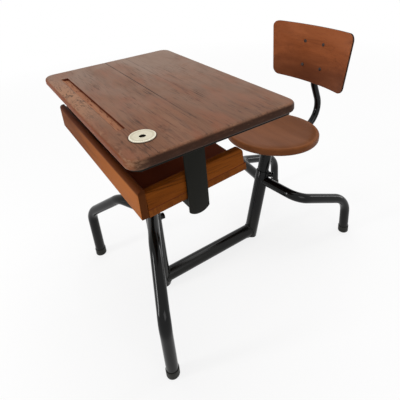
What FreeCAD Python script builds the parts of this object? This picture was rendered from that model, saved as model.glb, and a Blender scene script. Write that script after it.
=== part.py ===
import FreeCAD, Part
import math
import os

from FreeCAD import Rotation, Vector
import Sketcher

# A one-piece pupil's desk: a bent-tube frame carries a wooden top with a book tray
# on one telescoping post, and a round stool with a curved back on a leaning one.
#
# Frame: +Z up, +X to the pupil's left, -Y to the front of the desk, away from the
# stool.  The origin is on the floor under the middle of the whole object.
# Lengths are millimetres and angles are degrees.

SIZES = (
    # posts and link of the bent-tube frame
    ("desk_post_y", -291.15, "desk post axis, from the middle of the object"),
    ("post_distance", 382.0, "desk post axis to the foot of the stool post"),
    ("seat_post_lean", 15.0, "lean of the stool post away from the desk"),
    ("link_height", 35.5, "axis of the low link above the floor"),
    ("sleeve_outer", 48.0, "outer diameter of both post sleeves"),
    ("sleeve_wall", 2.7, "wall of the sleeves and of the link"),
    ("link_outer", 47.0, "outer diameter of the low link"),
    ("slide_gap", 0.25, "radial play of a telescoping tube in its sleeve"),
    ("inner_wall", 2.6, "wall of the telescoping tubes"),
    ("desk_sleeve_foot", 10.0, "lower end of the desk sleeve above the floor"),
    ("desk_sleeve_top", 345.0, "upper end of the desk sleeve above the floor"),
    ("seat_sleeve_foot", -24.0, "lower end of the stool sleeve, from the link axis"),
    ("seat_sleeve_top", 250.0, "upper end of the stool sleeve, from the link axis"),
    ("desk_tube_foot", 100.0, "lower end of the desk's inner tube above the floor"),
    ("seat_stem_foot", 65.0, "lower end of the stool stem, from the link axis"),
    ("plug_thick", 3.0, "end plug of a sleeve"),
    ("plug_gap", 0.05, "radial play of an end plug"),
    # bent legs
    ("leg_outer", 34.0, "outer diameter of the legs"),
    ("leg_wall", 2.0, "wall of the legs"),
    ("desk_leg_drop", 32.0, "upper end of the desk sleeve down to its legs"),
    ("desk_leg_turn", 23.1, "turn of the desk legs towards the front"),
    ("desk_leg_shoulder", 140.5, "post axis to the first bend of a desk leg"),
    ("desk_leg_reach", 311.4, "post axis to the foot of a desk leg"),
    ("desk_leg_knee", 194.0, "height of the second bend of a desk leg"),
    ("desk_leg_shoulder_bend", 81.0, "radius of the first bend"),
    ("desk_leg_knee_bend", 62.0, "radius of the second bend"),
    ("seat_leg_drop", 36.0, "upper end of the stool sleeve down to its legs"),
    ("seat_leg_shoulder_x", 166.0, "middle plane to the first bend of a stool leg"),
    ("seat_leg_shoulder_y", 25.5, "sleeve axis back to the first bend"),
    ("seat_leg_shoulder_drop", 7.0, "drop from the sleeve to the first bend"),
    ("seat_leg_foot_x", 198.0, "middle plane to the foot of a stool leg"),
    ("seat_leg_foot_y", 243.0, "sleeve axis back to the foot of a stool leg"),
    ("seat_leg_knee", 151.0, "height of the second bend of a stool leg"),
    ("seat_leg_shoulder_bend", 57.0, "radius of the first bend"),
    ("seat_leg_knee_bend", 80.0, "radius of the second bend"),
    ("cap_wall", 1.8, "wall of a foot cap round its leg"),
    ("cap_height", 27.0, "height of a foot cap"),
    ("cap_sole", 6.0, "thickness of a foot cap under its leg"),
    ("cap_round", 4.5, "rounding of a foot cap's lower edge"),
    ("cap_gap", 0.05, "radial play of a foot cap on its leg"),
    # clamps
    ("desk_clamp_drop", 66.0, "upper end of the desk sleeve down to its clamp screw"),
    ("seat_clamp_drop", 12.0, "upper end of the stool sleeve down to its clamp screw"),
    ("boss_outer", 20.0, "diameter of a clamp boss"),
    ("desk_boss_length", 4.5, "how far the desk's clamp boss stands off its sleeve"),
    ("seat_boss_length", 9.0, "how far the stool's clamp boss stands off its sleeve"),
    ("seat_clamp_turn", 45.0, "turn of the stool's clamp from straight back to the left"),
    ("clamp_diameter", 12.0, "clamp screw"),
    ("clamp_thread_gap", 0.08, "radial play of a clamp screw in its boss"),
    ("clamp_head_size", 19.0, "clamp screw head, across flats"),
    ("clamp_head_height", 6.5, "clamp screw head"),
    ("clamp_head_gap", 0.6, "clamp screw head to its boss"),
    ("clamp_tip_gap", 0.2, "clamp screw tip to the tube it holds"),
    # desk top
    ("top_width", 680.0, "desk top, side to side"),
    ("top_depth", 434.0, "desk top, front to back"),
    ("top_setback", 62.0, "desk post axis to the middle of the top"),
    ("top_height", 707.0, "upper face of the desk top above the floor"),
    ("top_thick", 26.0, "desk top"),
    ("top_corner", 30.0, "corner radius of the desk top"),
    ("top_edge_round", 9.0, "rounding of the desk top's edges"),
    ("front_board", 198.0, "front board of the glued top, front to back"),
    ("middle_board", 72.0, "middle board of the glued top, front to back"),
    ("groove_length", 452.0, "pen groove"),
    ("groove_width", 20.0, "pen groove"),
    ("groove_depth", 7.0, "pen groove"),
    ("groove_inset", 35.0, "front edge of the top to the pen groove"),
    ("groove_end_gap", 63.0, "end of the pen groove to the middle of the inkwell"),
    ("inkwell_margin", 84.0, "left edge of the top to the middle of the inkwell"),
    ("inkwell_inset", 67.0, "inkwell, from the front edge of the top"),
    ("inkwell_outer", 42.0, "cup of the inkwell"),
    ("inkwell_depth", 38.0, "cup of the inkwell"),
    ("inkwell_wall", 3.0, "wall of the inkwell"),
    ("inkwell_flange", 57.0, "flange of the inkwell"),
    ("inkwell_flange_thick", 3.2, "flange of the inkwell"),
    ("inkwell_mouth", 14.0, "hole for the pen in the inkwell"),
    ("inkwell_bevel", 2.0, "bevels of the cup's foot and of the flange"),
    ("inkwell_slope", 3.0, "width of the slope round the mouth"),
    ("inkwell_slope_rim", 2.56, "outer edge of the slope above the flange's underside"),
    ("inkwell_slope_edge", 0.96, "inner edge of the slope above the flange's underside"),
    ("inkwell_shoulder", 4.5, "shoulder of the cup inside, under the flange"),
    ("inkwell_gap", 0.5, "radial play of the inkwell in the top"),
    ("inkwell_rest_gap", 0.1, "flange of the inkwell above the top"),
    # steel carrier under the top
    ("rail_width", 40.0, "flat rail under each side of the top"),
    ("rail_thick", 5.0, "flat rail"),
    ("rail_inset", 8.0, "side edge of the top to its rail"),
    ("rail_end_gap", 11.0, "front and rear edge of the top to the end of a rail"),
    ("rail_chamfer", 14.0, "cut corners of a rail"),
    ("plate_width", 52.0, "side plate, front to back"),
    ("plate_thick", 5.0, "side plate"),
    ("plate_gap", 3.0, "side of the tray to a side plate"),
    ("plate_drop", 36.0, "underside of the tray down to a side plate's lower corners"),
    ("plate_end_radius", 36.0, "rounded lower end of a side plate"),
    ("channel_height", 23.0, "cross channel under the tray"),
    ("channel_wall", 4.0, "cross channel"),
    ("channel_bend", 4.0, "bends of the cross channel, outside"),
    # book tray
    ("tray_drop", 160.0, "upper face of the top down to the tray's underside at the post"),
    ("tray_tilt", 3.1, "fall of the tray towards the front"),
    ("tray_margin", 38.0, "side edge of the top to the side of the tray"),
    ("tray_front", 135.5, "desk post axis to the front face of the tray"),
    ("tray_front_thick", 16.0, "front board of the tray"),
    ("tray_rear", 137.0, "desk post axis to the rear end of the side boards"),
    ("tray_board", 17.0, "side boards of the tray"),
    ("tray_floor", 19.5, "bottom board of the tray"),
    ("tray_floor_lip", 6.0, "how far the bottom board stands out behind the sides"),
    ("tray_side_height", 45.0, "side boards of the tray"),
    ("tray_side_round", 14.0, "upper rear corner of a side board"),
    ("tray_front_drop", 5.0, "lower edge of the front board under the tray's level"),
    ("tray_front_height", 72.5, "front board of the tray"),
    ("tray_front_round", 10.0, "upper edge of the front board, outside"),
    ("tray_front_ease", 4.5, "upper edge of the front board, inside"),
    ("stay_width", 62.0, "steel stay between the front board and the top"),
    ("stay_thick", 3.0, "steel stay"),
    ("stay_foot", 32.0, "lower end of the stay above the front board's lower edge"),
    ("stay_leg", 26.0, "leg of the stay under the top"),
    ("stay_bend", 4.5, "bend of the stay, outside"),
    ("stay_screw_spread", 31.0, "screws of the stay, side to side"),
    ("stay_top_screw", 15.6, "front board to the stay's screws under the top"),
    ("stay_side_screw", 12.0, "lower end of the stay up to its screws"),
    # wood screws
    ("screw_diameter", 5.0, "shank of a wood screw"),
    ("screw_head", 9.5, "head of a wood screw"),
    ("screw_head_height", 2.8, "head of a wood screw"),
    ("screw_grip", 14.0, "how far a wood screw goes into the wood"),
    ("screw_gap", 0.05, "radial play of a wood screw in its hole"),
    ("rail_screw_end", 26.0, "end of a rail to its first screw"),
    ("rail_screw_margin", 10.0, "outer edge of a rail to its screws"),
    ("channel_screw_inner", 110.0, "middle plane to the inner channel screws"),
    ("channel_screw_end", 50.0, "end of the channel to its outer screws"),
    # stool
    ("seat_reach", 409.0, "link axis to the seat's upper face, along the stem"),
    ("seat_setback", 6.0, "stem axis to the middle of the seat"),
    ("seat_tilt", 5.0, "fall of the seat towards the back"),
    ("seat_diameter", 331.0, "seat disc"),
    ("seat_thick", 27.0, "seat disc"),
    ("seat_top_round", 6.0, "upper edge of the seat disc"),
    ("seat_under_round", 11.0, "lower edge of the seat disc"),
    ("seat_dish", 280.0, "diameter of the hollow in the seat"),
    ("seat_dish_depth", 7.0, "depth of the hollow in the seat"),
    ("seat_plate", 130.0, "steel plate under the seat"),
    ("seat_plate_thick", 4.0, "steel plate under the seat"),
    ("seat_screw_spread", 70.7, "screws of the seat plate, which stand in a square"),
    # back of the stool
    ("back_tube_outer", 25.0, "bent tube that carries the back"),
    ("back_tube_wall", 2.0, "bent tube that carries the back"),
    ("back_tube_corner", 270.0, "middle of the seat to the tube's rear corner"),
    ("back_tube_knee", 124.4, "seat's upper face up to the tube's upper bend"),
    ("back_tube_top", 79.2, "middle of the back up to the upper end of the tube"),
    ("back_tube_corner_bend", 88.0, "radius of the rear corner"),
    ("back_tube_knee_bend", 60.0, "radius of the upper bend"),
    ("back_y", 194.8, "middle of the seat to the middle of the back"),
    ("back_z", 232.2, "seat's upper face to the middle of the back"),
    ("back_lean", 8.0, "lean of the back"),
    ("back_radius", 480.0, "curve of the back, front face"),
    ("back_thick", 9.0, "curved plywood of the back"),
    ("back_top_width", 371.0, "upper edge of the back"),
    ("back_foot_width", 331.0, "lower edge of the back"),
    ("back_height", 203.0, "height of the back"),
    ("back_corner", 24.0, "corner radius of the back"),
    ("strap_width", 112.0, "steel strap behind the back"),
    ("strap_height", 26.0, "steel strap behind the back"),
    ("strap_thick", 3.0, "steel strap behind the back"),
    ("strap_corner", 5.0, "corner radius of a strap"),
    ("strap_spread", 43.0, "middle of the back to each strap"),
    ("back_screw_x", 42.0, "middle plane to the screws of the back"),
    ("back_screw_diameter", 6.0, "screws of the back"),
    ("back_screw_head", 12.0, "heads of the back's screws"),
    ("back_screw_head_height", 2.6, "heads of the back's screws"),
    ("nut_size", 10.0, "nuts of the back's screws, across flats"),
    ("nut_height", 5.0, "nuts of the back's screws"),
    ("back_screw_end", 2.0, "how far a back screw stands out past its nut"),
    ("head_gap", 0.1, "play under the heads and nuts of the back's screws"),
)

ROOM = 60.0        # how far a long cutting tool reaches past what it cuts
OVER = 1.0         # how far any other cutting tool stands out past a face
SAME = 0.01        # places closer than this count as the same
PARALLEL = 0.999   # directions with a larger cosine count as the same
FLATS_TO_CORNERS = "cos(30)"   # a hexagon's width across flats over that across corners
SIDES = (("left", 1), ("right", -1))

doc = FreeCAD.newDocument("pupil_desk")
sheet = doc.addObject("Spreadsheet::Sheet", "sizes")
for row, (alias, value, note) in enumerate(SIZES, start=1):
    sheet.set(f"A{row}", alias)
    sheet.set(f"B{row}", str(value))
    sheet.set(f"C{row}", note)
    sheet.setAlias(f"B{row}", alias)
doc.recompute()

NODES = []


# ---------------------------------------------------------------- helpers

def number(expression):
    """Return the plain number that an expression on the sheet gives."""
    result = sheet.evalExpression(str(expression))
    return float(getattr(result, "Value", result))


def bind(thing, **expressions):
    """Tie properties of an object to expressions on the sheet."""
    for name, expression in expressions.items():
        thing.setExpression(name, str(expression))


def at(thing, x="0", y="0", z="0"):
    """Tie an object's place to three expressions."""
    for letter, expression in zip("xyz", (x, y, z)):
        thing.setExpression(f".Placement.Base.{letter}", str(expression))
    return thing


def turn(thing, axis, angle):
    """Tie an object's turn about one axis to an expression in degrees."""
    thing.Placement = FreeCAD.Placement(thing.Placement.Base, Rotation(axis, 1))
    thing.setExpression(".Placement.Rotation.Angle", str(angle))
    return thing


def keep(thing, label):
    """Name a finished piece and put it on the list of nodes."""
    thing.Label = label
    NODES.append(thing)
    return thing


# Each place is an origin (y, z) and a turn about X that its pieces share.
STEM_Y = "(sizes.desk_post_y + sizes.post_distance)"
SEAT_Y = f"({STEM_Y} + sizes.seat_reach * sin(sizes.seat_post_lean) + sizes.seat_setback)"
SEAT_Z = "(sizes.link_height + sizes.seat_reach * cos(sizes.seat_post_lean))"
TRAY_LEVEL = "(sizes.top_height - sizes.tray_drop)"
PLACES = {
    "desk_post": ("sizes.desk_post_y", "0", "0"),
    "link": ("sizes.desk_post_y", "sizes.link_height", "0"),
    "tray": ("sizes.desk_post_y", TRAY_LEVEL, "sizes.tray_tilt"),
    "seat_post": (STEM_Y, "sizes.link_height", "-sizes.seat_post_lean"),
    "seat": (SEAT_Y, SEAT_Z, "-sizes.seat_tilt"),
    "back": (f"({SEAT_Y} + sizes.back_y)", f"({SEAT_Z} + sizes.back_z)", "-sizes.back_lean"),
}


def stand(thing, place, rise="0"):
    """Put a piece in one of the shared places, raised along that place's own Z."""
    y, z, tilt = PLACES[place]
    turn(thing, Vector(1, 0, 0), tilt)
    return at(thing, "0", f"{y} - ({rise}) * sin({tilt})", f"{z} + ({rise}) * cos({tilt})")


def rod(radius, length, x="0", y="0", z="0", axis="z"):
    """Make a round bar that starts at a point and runs along one axis."""
    bar = doc.addObject("Part::Cylinder", "rod")
    bind(bar, Radius=radius, Height=length)
    if axis == "y":
        turn(bar, Vector(1, 0, 0), "-90")
    if axis == "x":
        turn(bar, Vector(0, 1, 0), "90")
    return at(bar, x, y, z)


def hexagon(flats, height):
    """Make an upright bar of six sides, which is what a prism has from the start."""
    bar = doc.addObject("Part::Prism", "hexagon")
    bind(bar, Circumradius=f"{flats} / 2 / {FLATS_TO_CORNERS}", Height=height)
    return bar


def block(length, width, height, x, y, z):
    """Make a box from its low corner."""
    box = doc.addObject("Part::Box", "block")
    bind(box, Length=length, Width=width, Height=height)
    return at(box, x, y, z)


def join(parts):
    """Fuse several objects, or give back a single one as it is."""
    if len(parts) == 1:
        return parts[0]
    union = doc.addObject("Part::MultiFuse", "union")
    union.Shapes = parts
    return union


def cut(base, *tools):
    """Take one or more tools away from a base."""
    result = doc.addObject("Part::Cut", "cut")
    result.Base = base
    result.Tool = join(list(tools))
    return result


def overlap_of(first, second):
    """Keep what two objects share."""
    result = doc.addObject("Part::Common", "common")
    result.Base = first
    result.Tool = second
    return result


def group(parts):
    """Hold several separate solids as one piece."""
    result = doc.addObject("Part::Compound", "group")
    result.Links = parts
    return result


def body_with(name):
    """Start a part body."""
    return doc.addObject("PartDesign::Body", name)


def sketch_on(body, plane):
    """Add an empty sketch on one of a body's own origin planes."""
    sketch = body.newObject("Sketcher::SketchObject", "outline")
    feature = next(f for f in body.Origin.OriginFeatures if f.Role == plane)
    sketch.AttachmentSupport = (feature, "")
    sketch.MapMode = "FlatFace"
    return sketch


def corners_of(sketch, corners):
    """Draw a closed outline through corners that are each a pair of expressions."""
    places = [Vector(number(across), number(up), 0) for across, up in corners]
    count = len(places)
    for index, start in enumerate(places):
        sketch.addGeometry(Part.LineSegment(start, places[(index + 1) % count]))
    for index, (across, up) in enumerate(corners):
        after = (index - 1) % count
        sketch.addConstraint(Sketcher.Constraint("Coincident", after, 2, index, 1))
        for kind, expression in (("DistanceX", across), ("DistanceY", up)):
            held = Sketcher.Constraint(kind, -1, 1, index, 1, number(expression))
            sketch.addConstraint(held)
            sketch.setExpression(f"Constraints[{sketch.ConstraintCount - 1}]", str(expression))
    return sketch


def padded(name, plane, corners, length, both_ways=False):
    """Pad an outline, along its plane's normal or half to each side."""
    body = body_with(name)
    sketch = corners_of(sketch_on(body, plane), corners)
    pad = body.newObject("PartDesign::Pad", "pad")
    pad.Profile = sketch
    pad.SideType = "Symmetric" if both_ways else "One side"
    bind(pad, Length=length)
    doc.recompute()
    return body


def revolved(name, corners):
    """Turn an outline of radius and height pairs about Z."""
    body = body_with(name)
    sketch = corners_of(sketch_on(body, "XZ_Plane"), corners)
    turned = body.newObject("PartDesign::Revolution", "revolution")
    turned.Profile = sketch
    turned.ReferenceAxis = (sketch, ["V_Axis"])
    doc.recompute()
    return body


def eased(body, kind, wanted, size):
    """Round or bevel the edges of a body's tip that a test picks out."""
    tip = body.Tip
    names = [f"Edge{i}" for i, edge in enumerate(tip.Shape.Edges, start=1) if wanted(edge)]
    feature = body.newObject(f"PartDesign::{kind}", kind.lower())
    feature.Base = (tip, names)
    bind(feature, **{"Radius" if kind == "Fillet" else "Size": size})
    doc.recompute()
    return body


def along(axis):
    """Test for straight edges that run along an axis."""
    def check(edge):
        ends = edge.Vertexes
        if len(ends) < 2 or edge.Curve.TypeId != "Part::GeomLine":
            return False
        return abs((ends[1].Point - ends[0].Point).normalize().dot(axis)) > PARALLEL
    return check


def at_level(*levels):
    """Test for edges that lie wholly at one of some heights."""
    def check(edge):
        box = edge.BoundBox
        return any(abs(box.ZMin - z) < SAME and abs(box.ZMax - z) < SAME for z in levels)
    return check


def rim_at(level):
    """Test for round edges at a height."""
    return lambda edge: at_level(level)(edge) and edge.BoundBox.XLength > SAME


def bent_path(points, bends):
    """Return the edges of straight runs joined by tangent arcs."""
    edges = []
    start = points[0]
    for before, corner, after, radius in zip(points, points[1:], points[2:], bends):
        arriving = (corner - before).normalize()
        leaving = (after - corner).normalize()
        half = arriving.getAngle(leaving) / 2
        setback = radius * math.tan(half)
        first = corner - arriving * setback
        last = corner + leaving * setback
        inward = (leaving - arriving).normalize()
        middle = corner + inward * (radius / math.cos(half) - radius)
        edges.append(Part.makeLine(start, first))
        edges.append(Part.Arc(first, middle, last).toShape())
        start = last
    edges.append(Part.makeLine(start, points[-1]))
    return edges


def swept(path, start, direction, radius):
    """Carry a circle of bound radius along a path."""
    ring = doc.addObject("Part::Circle", "ring")
    bind(ring, Radius=radius)
    ring.Placement = FreeCAD.Placement(start, Rotation(Vector(0, 0, 1), direction))
    sweep = doc.addObject("Part::Sweep", "sweep")
    sweep.Sections = [ring]
    sweep.Spine = (path, [f"Edge{i}" for i in range(1, len(path.Shape.Edges) + 1)])
    sweep.Solid = True
    sweep.Frenet = True
    return sweep


def bent_tube(points, bends, outer, wall):
    """Make a hollow bent tube: an outer sweep less an inner one."""
    path = doc.addObject("Part::Feature", "path")
    path.Shape = Part.Wire(bent_path(points, bends))
    direction = (points[1] - points[0]).normalize()
    skin = swept(path, points[0], direction, f"{outer} / 2")
    bore = swept(path, points[0], direction, f"{outer} / 2 - {wall}")
    return cut(skin, bore)


# ---------------------------------------------------------------- frame

SLEEVE_R = "sizes.sleeve_outer / 2"
SLEEVE_BORE = "(sizes.sleeve_outer / 2 - sizes.sleeve_wall)"
INNER_R = f"({SLEEVE_BORE} - sizes.slide_gap)"
THREAD_R = "(sizes.clamp_diameter / 2 + sizes.clamp_thread_gap)"
POSTS = (
    ("desk", "desk_post", "sizes.desk_sleeve_foot", "sizes.desk_sleeve_top", "0"),
    ("seat", "seat_post", "sizes.seat_sleeve_foot", "sizes.seat_sleeve_top",
     "-sizes.seat_clamp_turn"),
)


def sleeve_envelope(place):
    """The outside of a sleeve, long enough to cope whatever meets it."""
    reach = "(sizes.desk_sleeve_top + sizes.seat_sleeve_top)"
    return stand(rod(SLEEVE_R, reach), place, "-sizes.link_height")


def faced(thing, angle):
    """Turn a piece about its post, from straight back."""
    return turn(group([thing]), Vector(0, 0, 1), angle)


def make_post(name, place, foot, top, facing):
    """One sleeve with its end plug, clamp boss and clamp screw."""
    length = f"{top} - ({foot})"
    clamp = f"({top} - sizes.{name}_clamp_drop)"
    stand_off = f"({SLEEVE_R} + sizes.{name}_boss_length)"
    bore = rod(SLEEVE_BORE, length, z=foot)
    thread = rod(THREAD_R, f"{stand_off} + {OVER}", z=clamp, axis="y")
    sleeve = cut(rod(SLEEVE_R, length, z=foot), bore, faced(thread, facing))
    keep(stand(sleeve, place), f"{name}_sleeve")

    plug = rod(f"{SLEEVE_BORE} - sizes.plug_gap", "sizes.plug_thick", z=foot)
    keep(stand(group([plug]), place), f"{name}_sleeve_plug")

    boss = rod("sizes.boss_outer / 2", stand_off, z=clamp, axis="y")
    tapped = cut(boss, rod(SLEEVE_R, length, z=foot),
                 rod(THREAD_R, f"{stand_off} + {OVER}", z=clamp, axis="y"))
    keep(stand(group([faced(tapped, facing)]), place), f"{name}_clamp_boss")

    head_place = f"({stand_off} + sizes.clamp_head_gap)"
    tip_place = f"({INNER_R} + sizes.clamp_tip_gap)"
    shank = rod("sizes.clamp_diameter / 2", f"{head_place} - {tip_place} + {OVER}",
                y=tip_place, z=clamp, axis="y")
    head = hexagon("sizes.clamp_head_size", "sizes.clamp_head_height")
    turn(head, Vector(1, 0, 0), "-90")
    at(head, "0", head_place, clamp)
    keep(stand(group([faced(join([shank, head]), facing)]), place), f"{name}_clamp_screw")


def make_link():
    """The low tube from post to post, coped to both sleeves."""
    outer = rod("sizes.link_outer / 2", "sizes.post_distance", axis="y")
    bore = rod("sizes.link_outer / 2 - sizes.sleeve_wall", "sizes.post_distance", axis="y")
    tube = stand(cut(outer, bore), "link")
    link = cut(tube, sleeve_envelope("desk_post"), sleeve_envelope("seat_post"))
    return keep(link, "link_tube")


def desk_leg_points(side):
    """Corner points of a desk leg, which lies in one upright plane."""
    turned = math.radians(number("sizes.desk_leg_turn"))
    outward = Vector(side * math.cos(turned), -math.sin(turned), 0)
    axis = Vector(0, number("sizes.desk_post_y"), 0)
    shoulder = outward * number("sizes.desk_leg_shoulder")
    reach = outward * number("sizes.desk_leg_reach")
    level = Vector(0, 0, number("sizes.desk_sleeve_top - sizes.desk_leg_drop"))
    knee = Vector(0, 0, number("sizes.desk_leg_knee"))
    sole = Vector(0, 0, number("sizes.cap_sole"))
    return [axis + level, axis + shoulder + level, axis + reach + knee, axis + reach + sole]


def seat_leg_points(side):
    """Corner points of a stool leg: sideways and back, down to the knee, upright."""
    lean = math.radians(number("sizes.seat_post_lean"))
    rise = number("sizes.seat_sleeve_top - sizes.seat_leg_drop")
    start = Vector(0, number(STEM_Y) + rise * math.sin(lean),
                   number("sizes.link_height") + rise * math.cos(lean))
    shoulder = start + Vector(side * number("sizes.seat_leg_shoulder_x"),
                              number("sizes.seat_leg_shoulder_y"),
                              -number("sizes.seat_leg_shoulder_drop"))
    foot_x = side * number("sizes.seat_leg_foot_x")
    foot_y = start.y + number("sizes.seat_leg_foot_y")
    return [start, shoulder, Vector(foot_x, foot_y, number("sizes.seat_leg_knee")),
            Vector(foot_x, foot_y, number("sizes.cap_sole"))]


def make_foot_cap(label, foot):
    """A cup under a leg: the leg stands on its sole."""
    inner = "(sizes.leg_outer / 2 + sizes.cap_gap)"
    outer = "(sizes.leg_outer / 2 + sizes.cap_wall)"
    cap = revolved("foot_cap", (
        ("0", "0"), (outer, "0"), (outer, "sizes.cap_height"),
        (inner, "sizes.cap_height"), (inner, "sizes.cap_sole"), ("0", "sizes.cap_sole")))
    eased(cap, "Fillet", rim_at(0), "sizes.cap_round")
    cap.Placement.Base = Vector(foot.x, foot.y, 0)
    return keep(cap, label)


def make_legs():
    """Four bent legs, coped to their sleeves, with a cap on each foot."""
    kinds = (("desk", desk_leg_points, "desk_post"), ("seat", seat_leg_points, "seat_post"))
    for name, points_of, place in kinds:
        bends = [number(f"sizes.{name}_leg_{bend}_bend") for bend in ("shoulder", "knee")]
        for side, sign in SIDES:
            points = points_of(sign)
            tube = bent_tube(points, bends, "sizes.leg_outer", "sizes.leg_wall")
            keep(cut(tube, sleeve_envelope(place)), f"{name}_leg_{side}")
            make_foot_cap(f"{name}_foot_cap_{side}", points[-1])


# ---------------------------------------------------------------- desk top

TRAY_HALF = "(sizes.top_width / 2 - sizes.tray_margin)"
PLATE_INNER = f"({TRAY_HALF} + sizes.plate_gap)"
TOP_UNDER = "(sizes.top_height - sizes.top_thick)"
TOP_FRONT = "(sizes.top_setback - sizes.top_depth / 2)"
INKWELL_X = "(sizes.top_width / 2 - sizes.inkwell_margin)"
GROOVE_X = f"({INKWELL_X} - sizes.groove_end_gap - sizes.groove_length / 2)"
COVE = ((1 / 3, 3 / 4), (2 / 3, 1))   # front side of the groove, shares of width and depth
RAIL_OUTER = "(sizes.top_width / 2 - sizes.rail_inset)"
RAIL_LENGTH = "(sizes.top_depth - 2 * sizes.rail_end_gap)"
SCREW_R = "sizes.screw_diameter / 2"
PILOT_R = "(sizes.screw_diameter / 2 + sizes.screw_gap)"
RAIL_STEPS = (-1.5, -0.5, 0.5, 1.5)   # screws of a rail, counted in pitches from its middle
RAIL_PITCH = f"(({RAIL_LENGTH} - 2 * sizes.rail_screw_end) / {len(RAIL_STEPS) - 1})"
RAIL_SCREWS = [(f"{sign} * ({RAIL_OUTER} - sizes.rail_screw_margin)",
                f"sizes.top_setback + {step} * {RAIL_PITCH}")
               for _, sign in SIDES for step in RAIL_STEPS]


def upright_screw(x, y, under, plate):
    """A screw driven upwards: a head under a plate and a shank through it."""
    head = rod("sizes.screw_head / 2", "sizes.screw_head_height", x, y,
               f"{under} - sizes.screw_head_height")
    shank = rod(SCREW_R, f"{plate} + sizes.screw_grip", x, y, under)
    return join([head, shank])


def screw_hole(x, y, under, plate):
    """The hole that an upright screw goes up through."""
    return rod(PILOT_R, f"{plate} + sizes.screw_grip + sizes.screw_gap", x, y, under)


def make_top():
    """The top: three glued boards with a pen groove and a hole for the inkwell."""
    half = "sizes.top_width / 2"
    back = f"({TOP_FRONT} + sizes.top_depth)"
    blank = padded("top_blank", "XY_Plane", (
        (f"-{half}", TOP_FRONT), (half, TOP_FRONT), (half, back), (f"-{half}", back)),
        "sizes.top_thick")
    eased(blank, "Fillet", along(Vector(0, 0, 1)), "sizes.top_corner")
    eased(blank, "Fillet", at_level(0, number("sizes.top_thick")), "sizes.top_edge_round")
    at(blank, "0", "0", TOP_UNDER)

    far = f"({TOP_FRONT} + sizes.groove_inset + sizes.groove_width)"
    near = f"({TOP_FRONT} + sizes.groove_inset)"
    floor = "(sizes.top_height - sizes.groove_depth)"
    above = f"sizes.top_height + {OVER}"
    cove = [(f"{near} + {across} * sizes.groove_width", f"sizes.top_height - {down} * sizes.groove_depth")
            for across, down in COVE]
    groove = padded("pen_groove", "YZ_Plane", (
        (near, above), (near, "sizes.top_height"), *cove, (far, floor), (far, above)),
        "sizes.groove_length", both_ways=True)
    at(groove, GROOVE_X, "0", "0")

    well = rod("sizes.inkwell_outer / 2 + sizes.inkwell_gap", f"sizes.top_thick + 2 * {OVER}",
               INKWELL_X, f"{TOP_FRONT} + sizes.inkwell_inset", f"{TOP_UNDER} - {OVER}")
    rail_under = f"({TOP_UNDER} - sizes.rail_thick)"
    holes = [screw_hole(x, y, rail_under, "sizes.rail_thick") for x, y in RAIL_SCREWS]
    holes += [screw_hole(x, y, TOP_UNDER, "0") for x, y in stay_top_screws()]
    shaped = cut(blank, groove, well, *holes)

    first = f"({TOP_FRONT} + sizes.front_board)"
    second = f"({first} + sizes.middle_board)"
    boards = (("front", f"({TOP_FRONT} - {OVER})", first), ("middle", first, second),
              ("rear", second, f"({back} + {OVER})"))
    for name, start, end in boards:
        zone = block(f"sizes.top_width + 2 * {OVER}", f"{end} - {start}",
                     f"sizes.top_thick + 2 * {OVER}", f"-{half} - {OVER}", start,
                     f"{TOP_UNDER} - {OVER}")
        board = overlap_of(shaped, zone)
        keep(at(board, "0", "sizes.desk_post_y", "0"), f"top_board_{name}")


def make_inkwell():
    """A hollow porcelain cup with a flange and a small mouth for the pen."""
    outer = "sizes.inkwell_outer / 2"
    inner = f"({outer} - sizes.inkwell_wall)"
    rim = "sizes.inkwell_flange / 2"
    mouth = "sizes.inkwell_mouth / 2"
    thick = "sizes.inkwell_flange_thick"
    bevel = "sizes.inkwell_bevel"
    floor = "(sizes.inkwell_wall - sizes.inkwell_depth)"
    cup = revolved("inkwell_cup", (
        ("0", "-sizes.inkwell_depth"), (f"{outer} - {bevel}", "-sizes.inkwell_depth"),
        (outer, f"{bevel} - sizes.inkwell_depth"), (outer, "0"), (rim, "0"),
        (rim, f"{thick} / 2"), (f"{rim} - {bevel}", thick),
        (f"{mouth} + sizes.inkwell_slope", "sizes.inkwell_slope_rim"),
        (mouth, "sizes.inkwell_slope_edge"), (mouth, "-sizes.inkwell_wall"),
        (inner, "-sizes.inkwell_shoulder"), (inner, floor), ("0", floor)))
    at(cup, INKWELL_X,
       f"sizes.desk_post_y + {TOP_FRONT} + sizes.inkwell_inset",
       "sizes.top_height + sizes.inkwell_rest_gap")
    return keep(cup, "inkwell")


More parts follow.
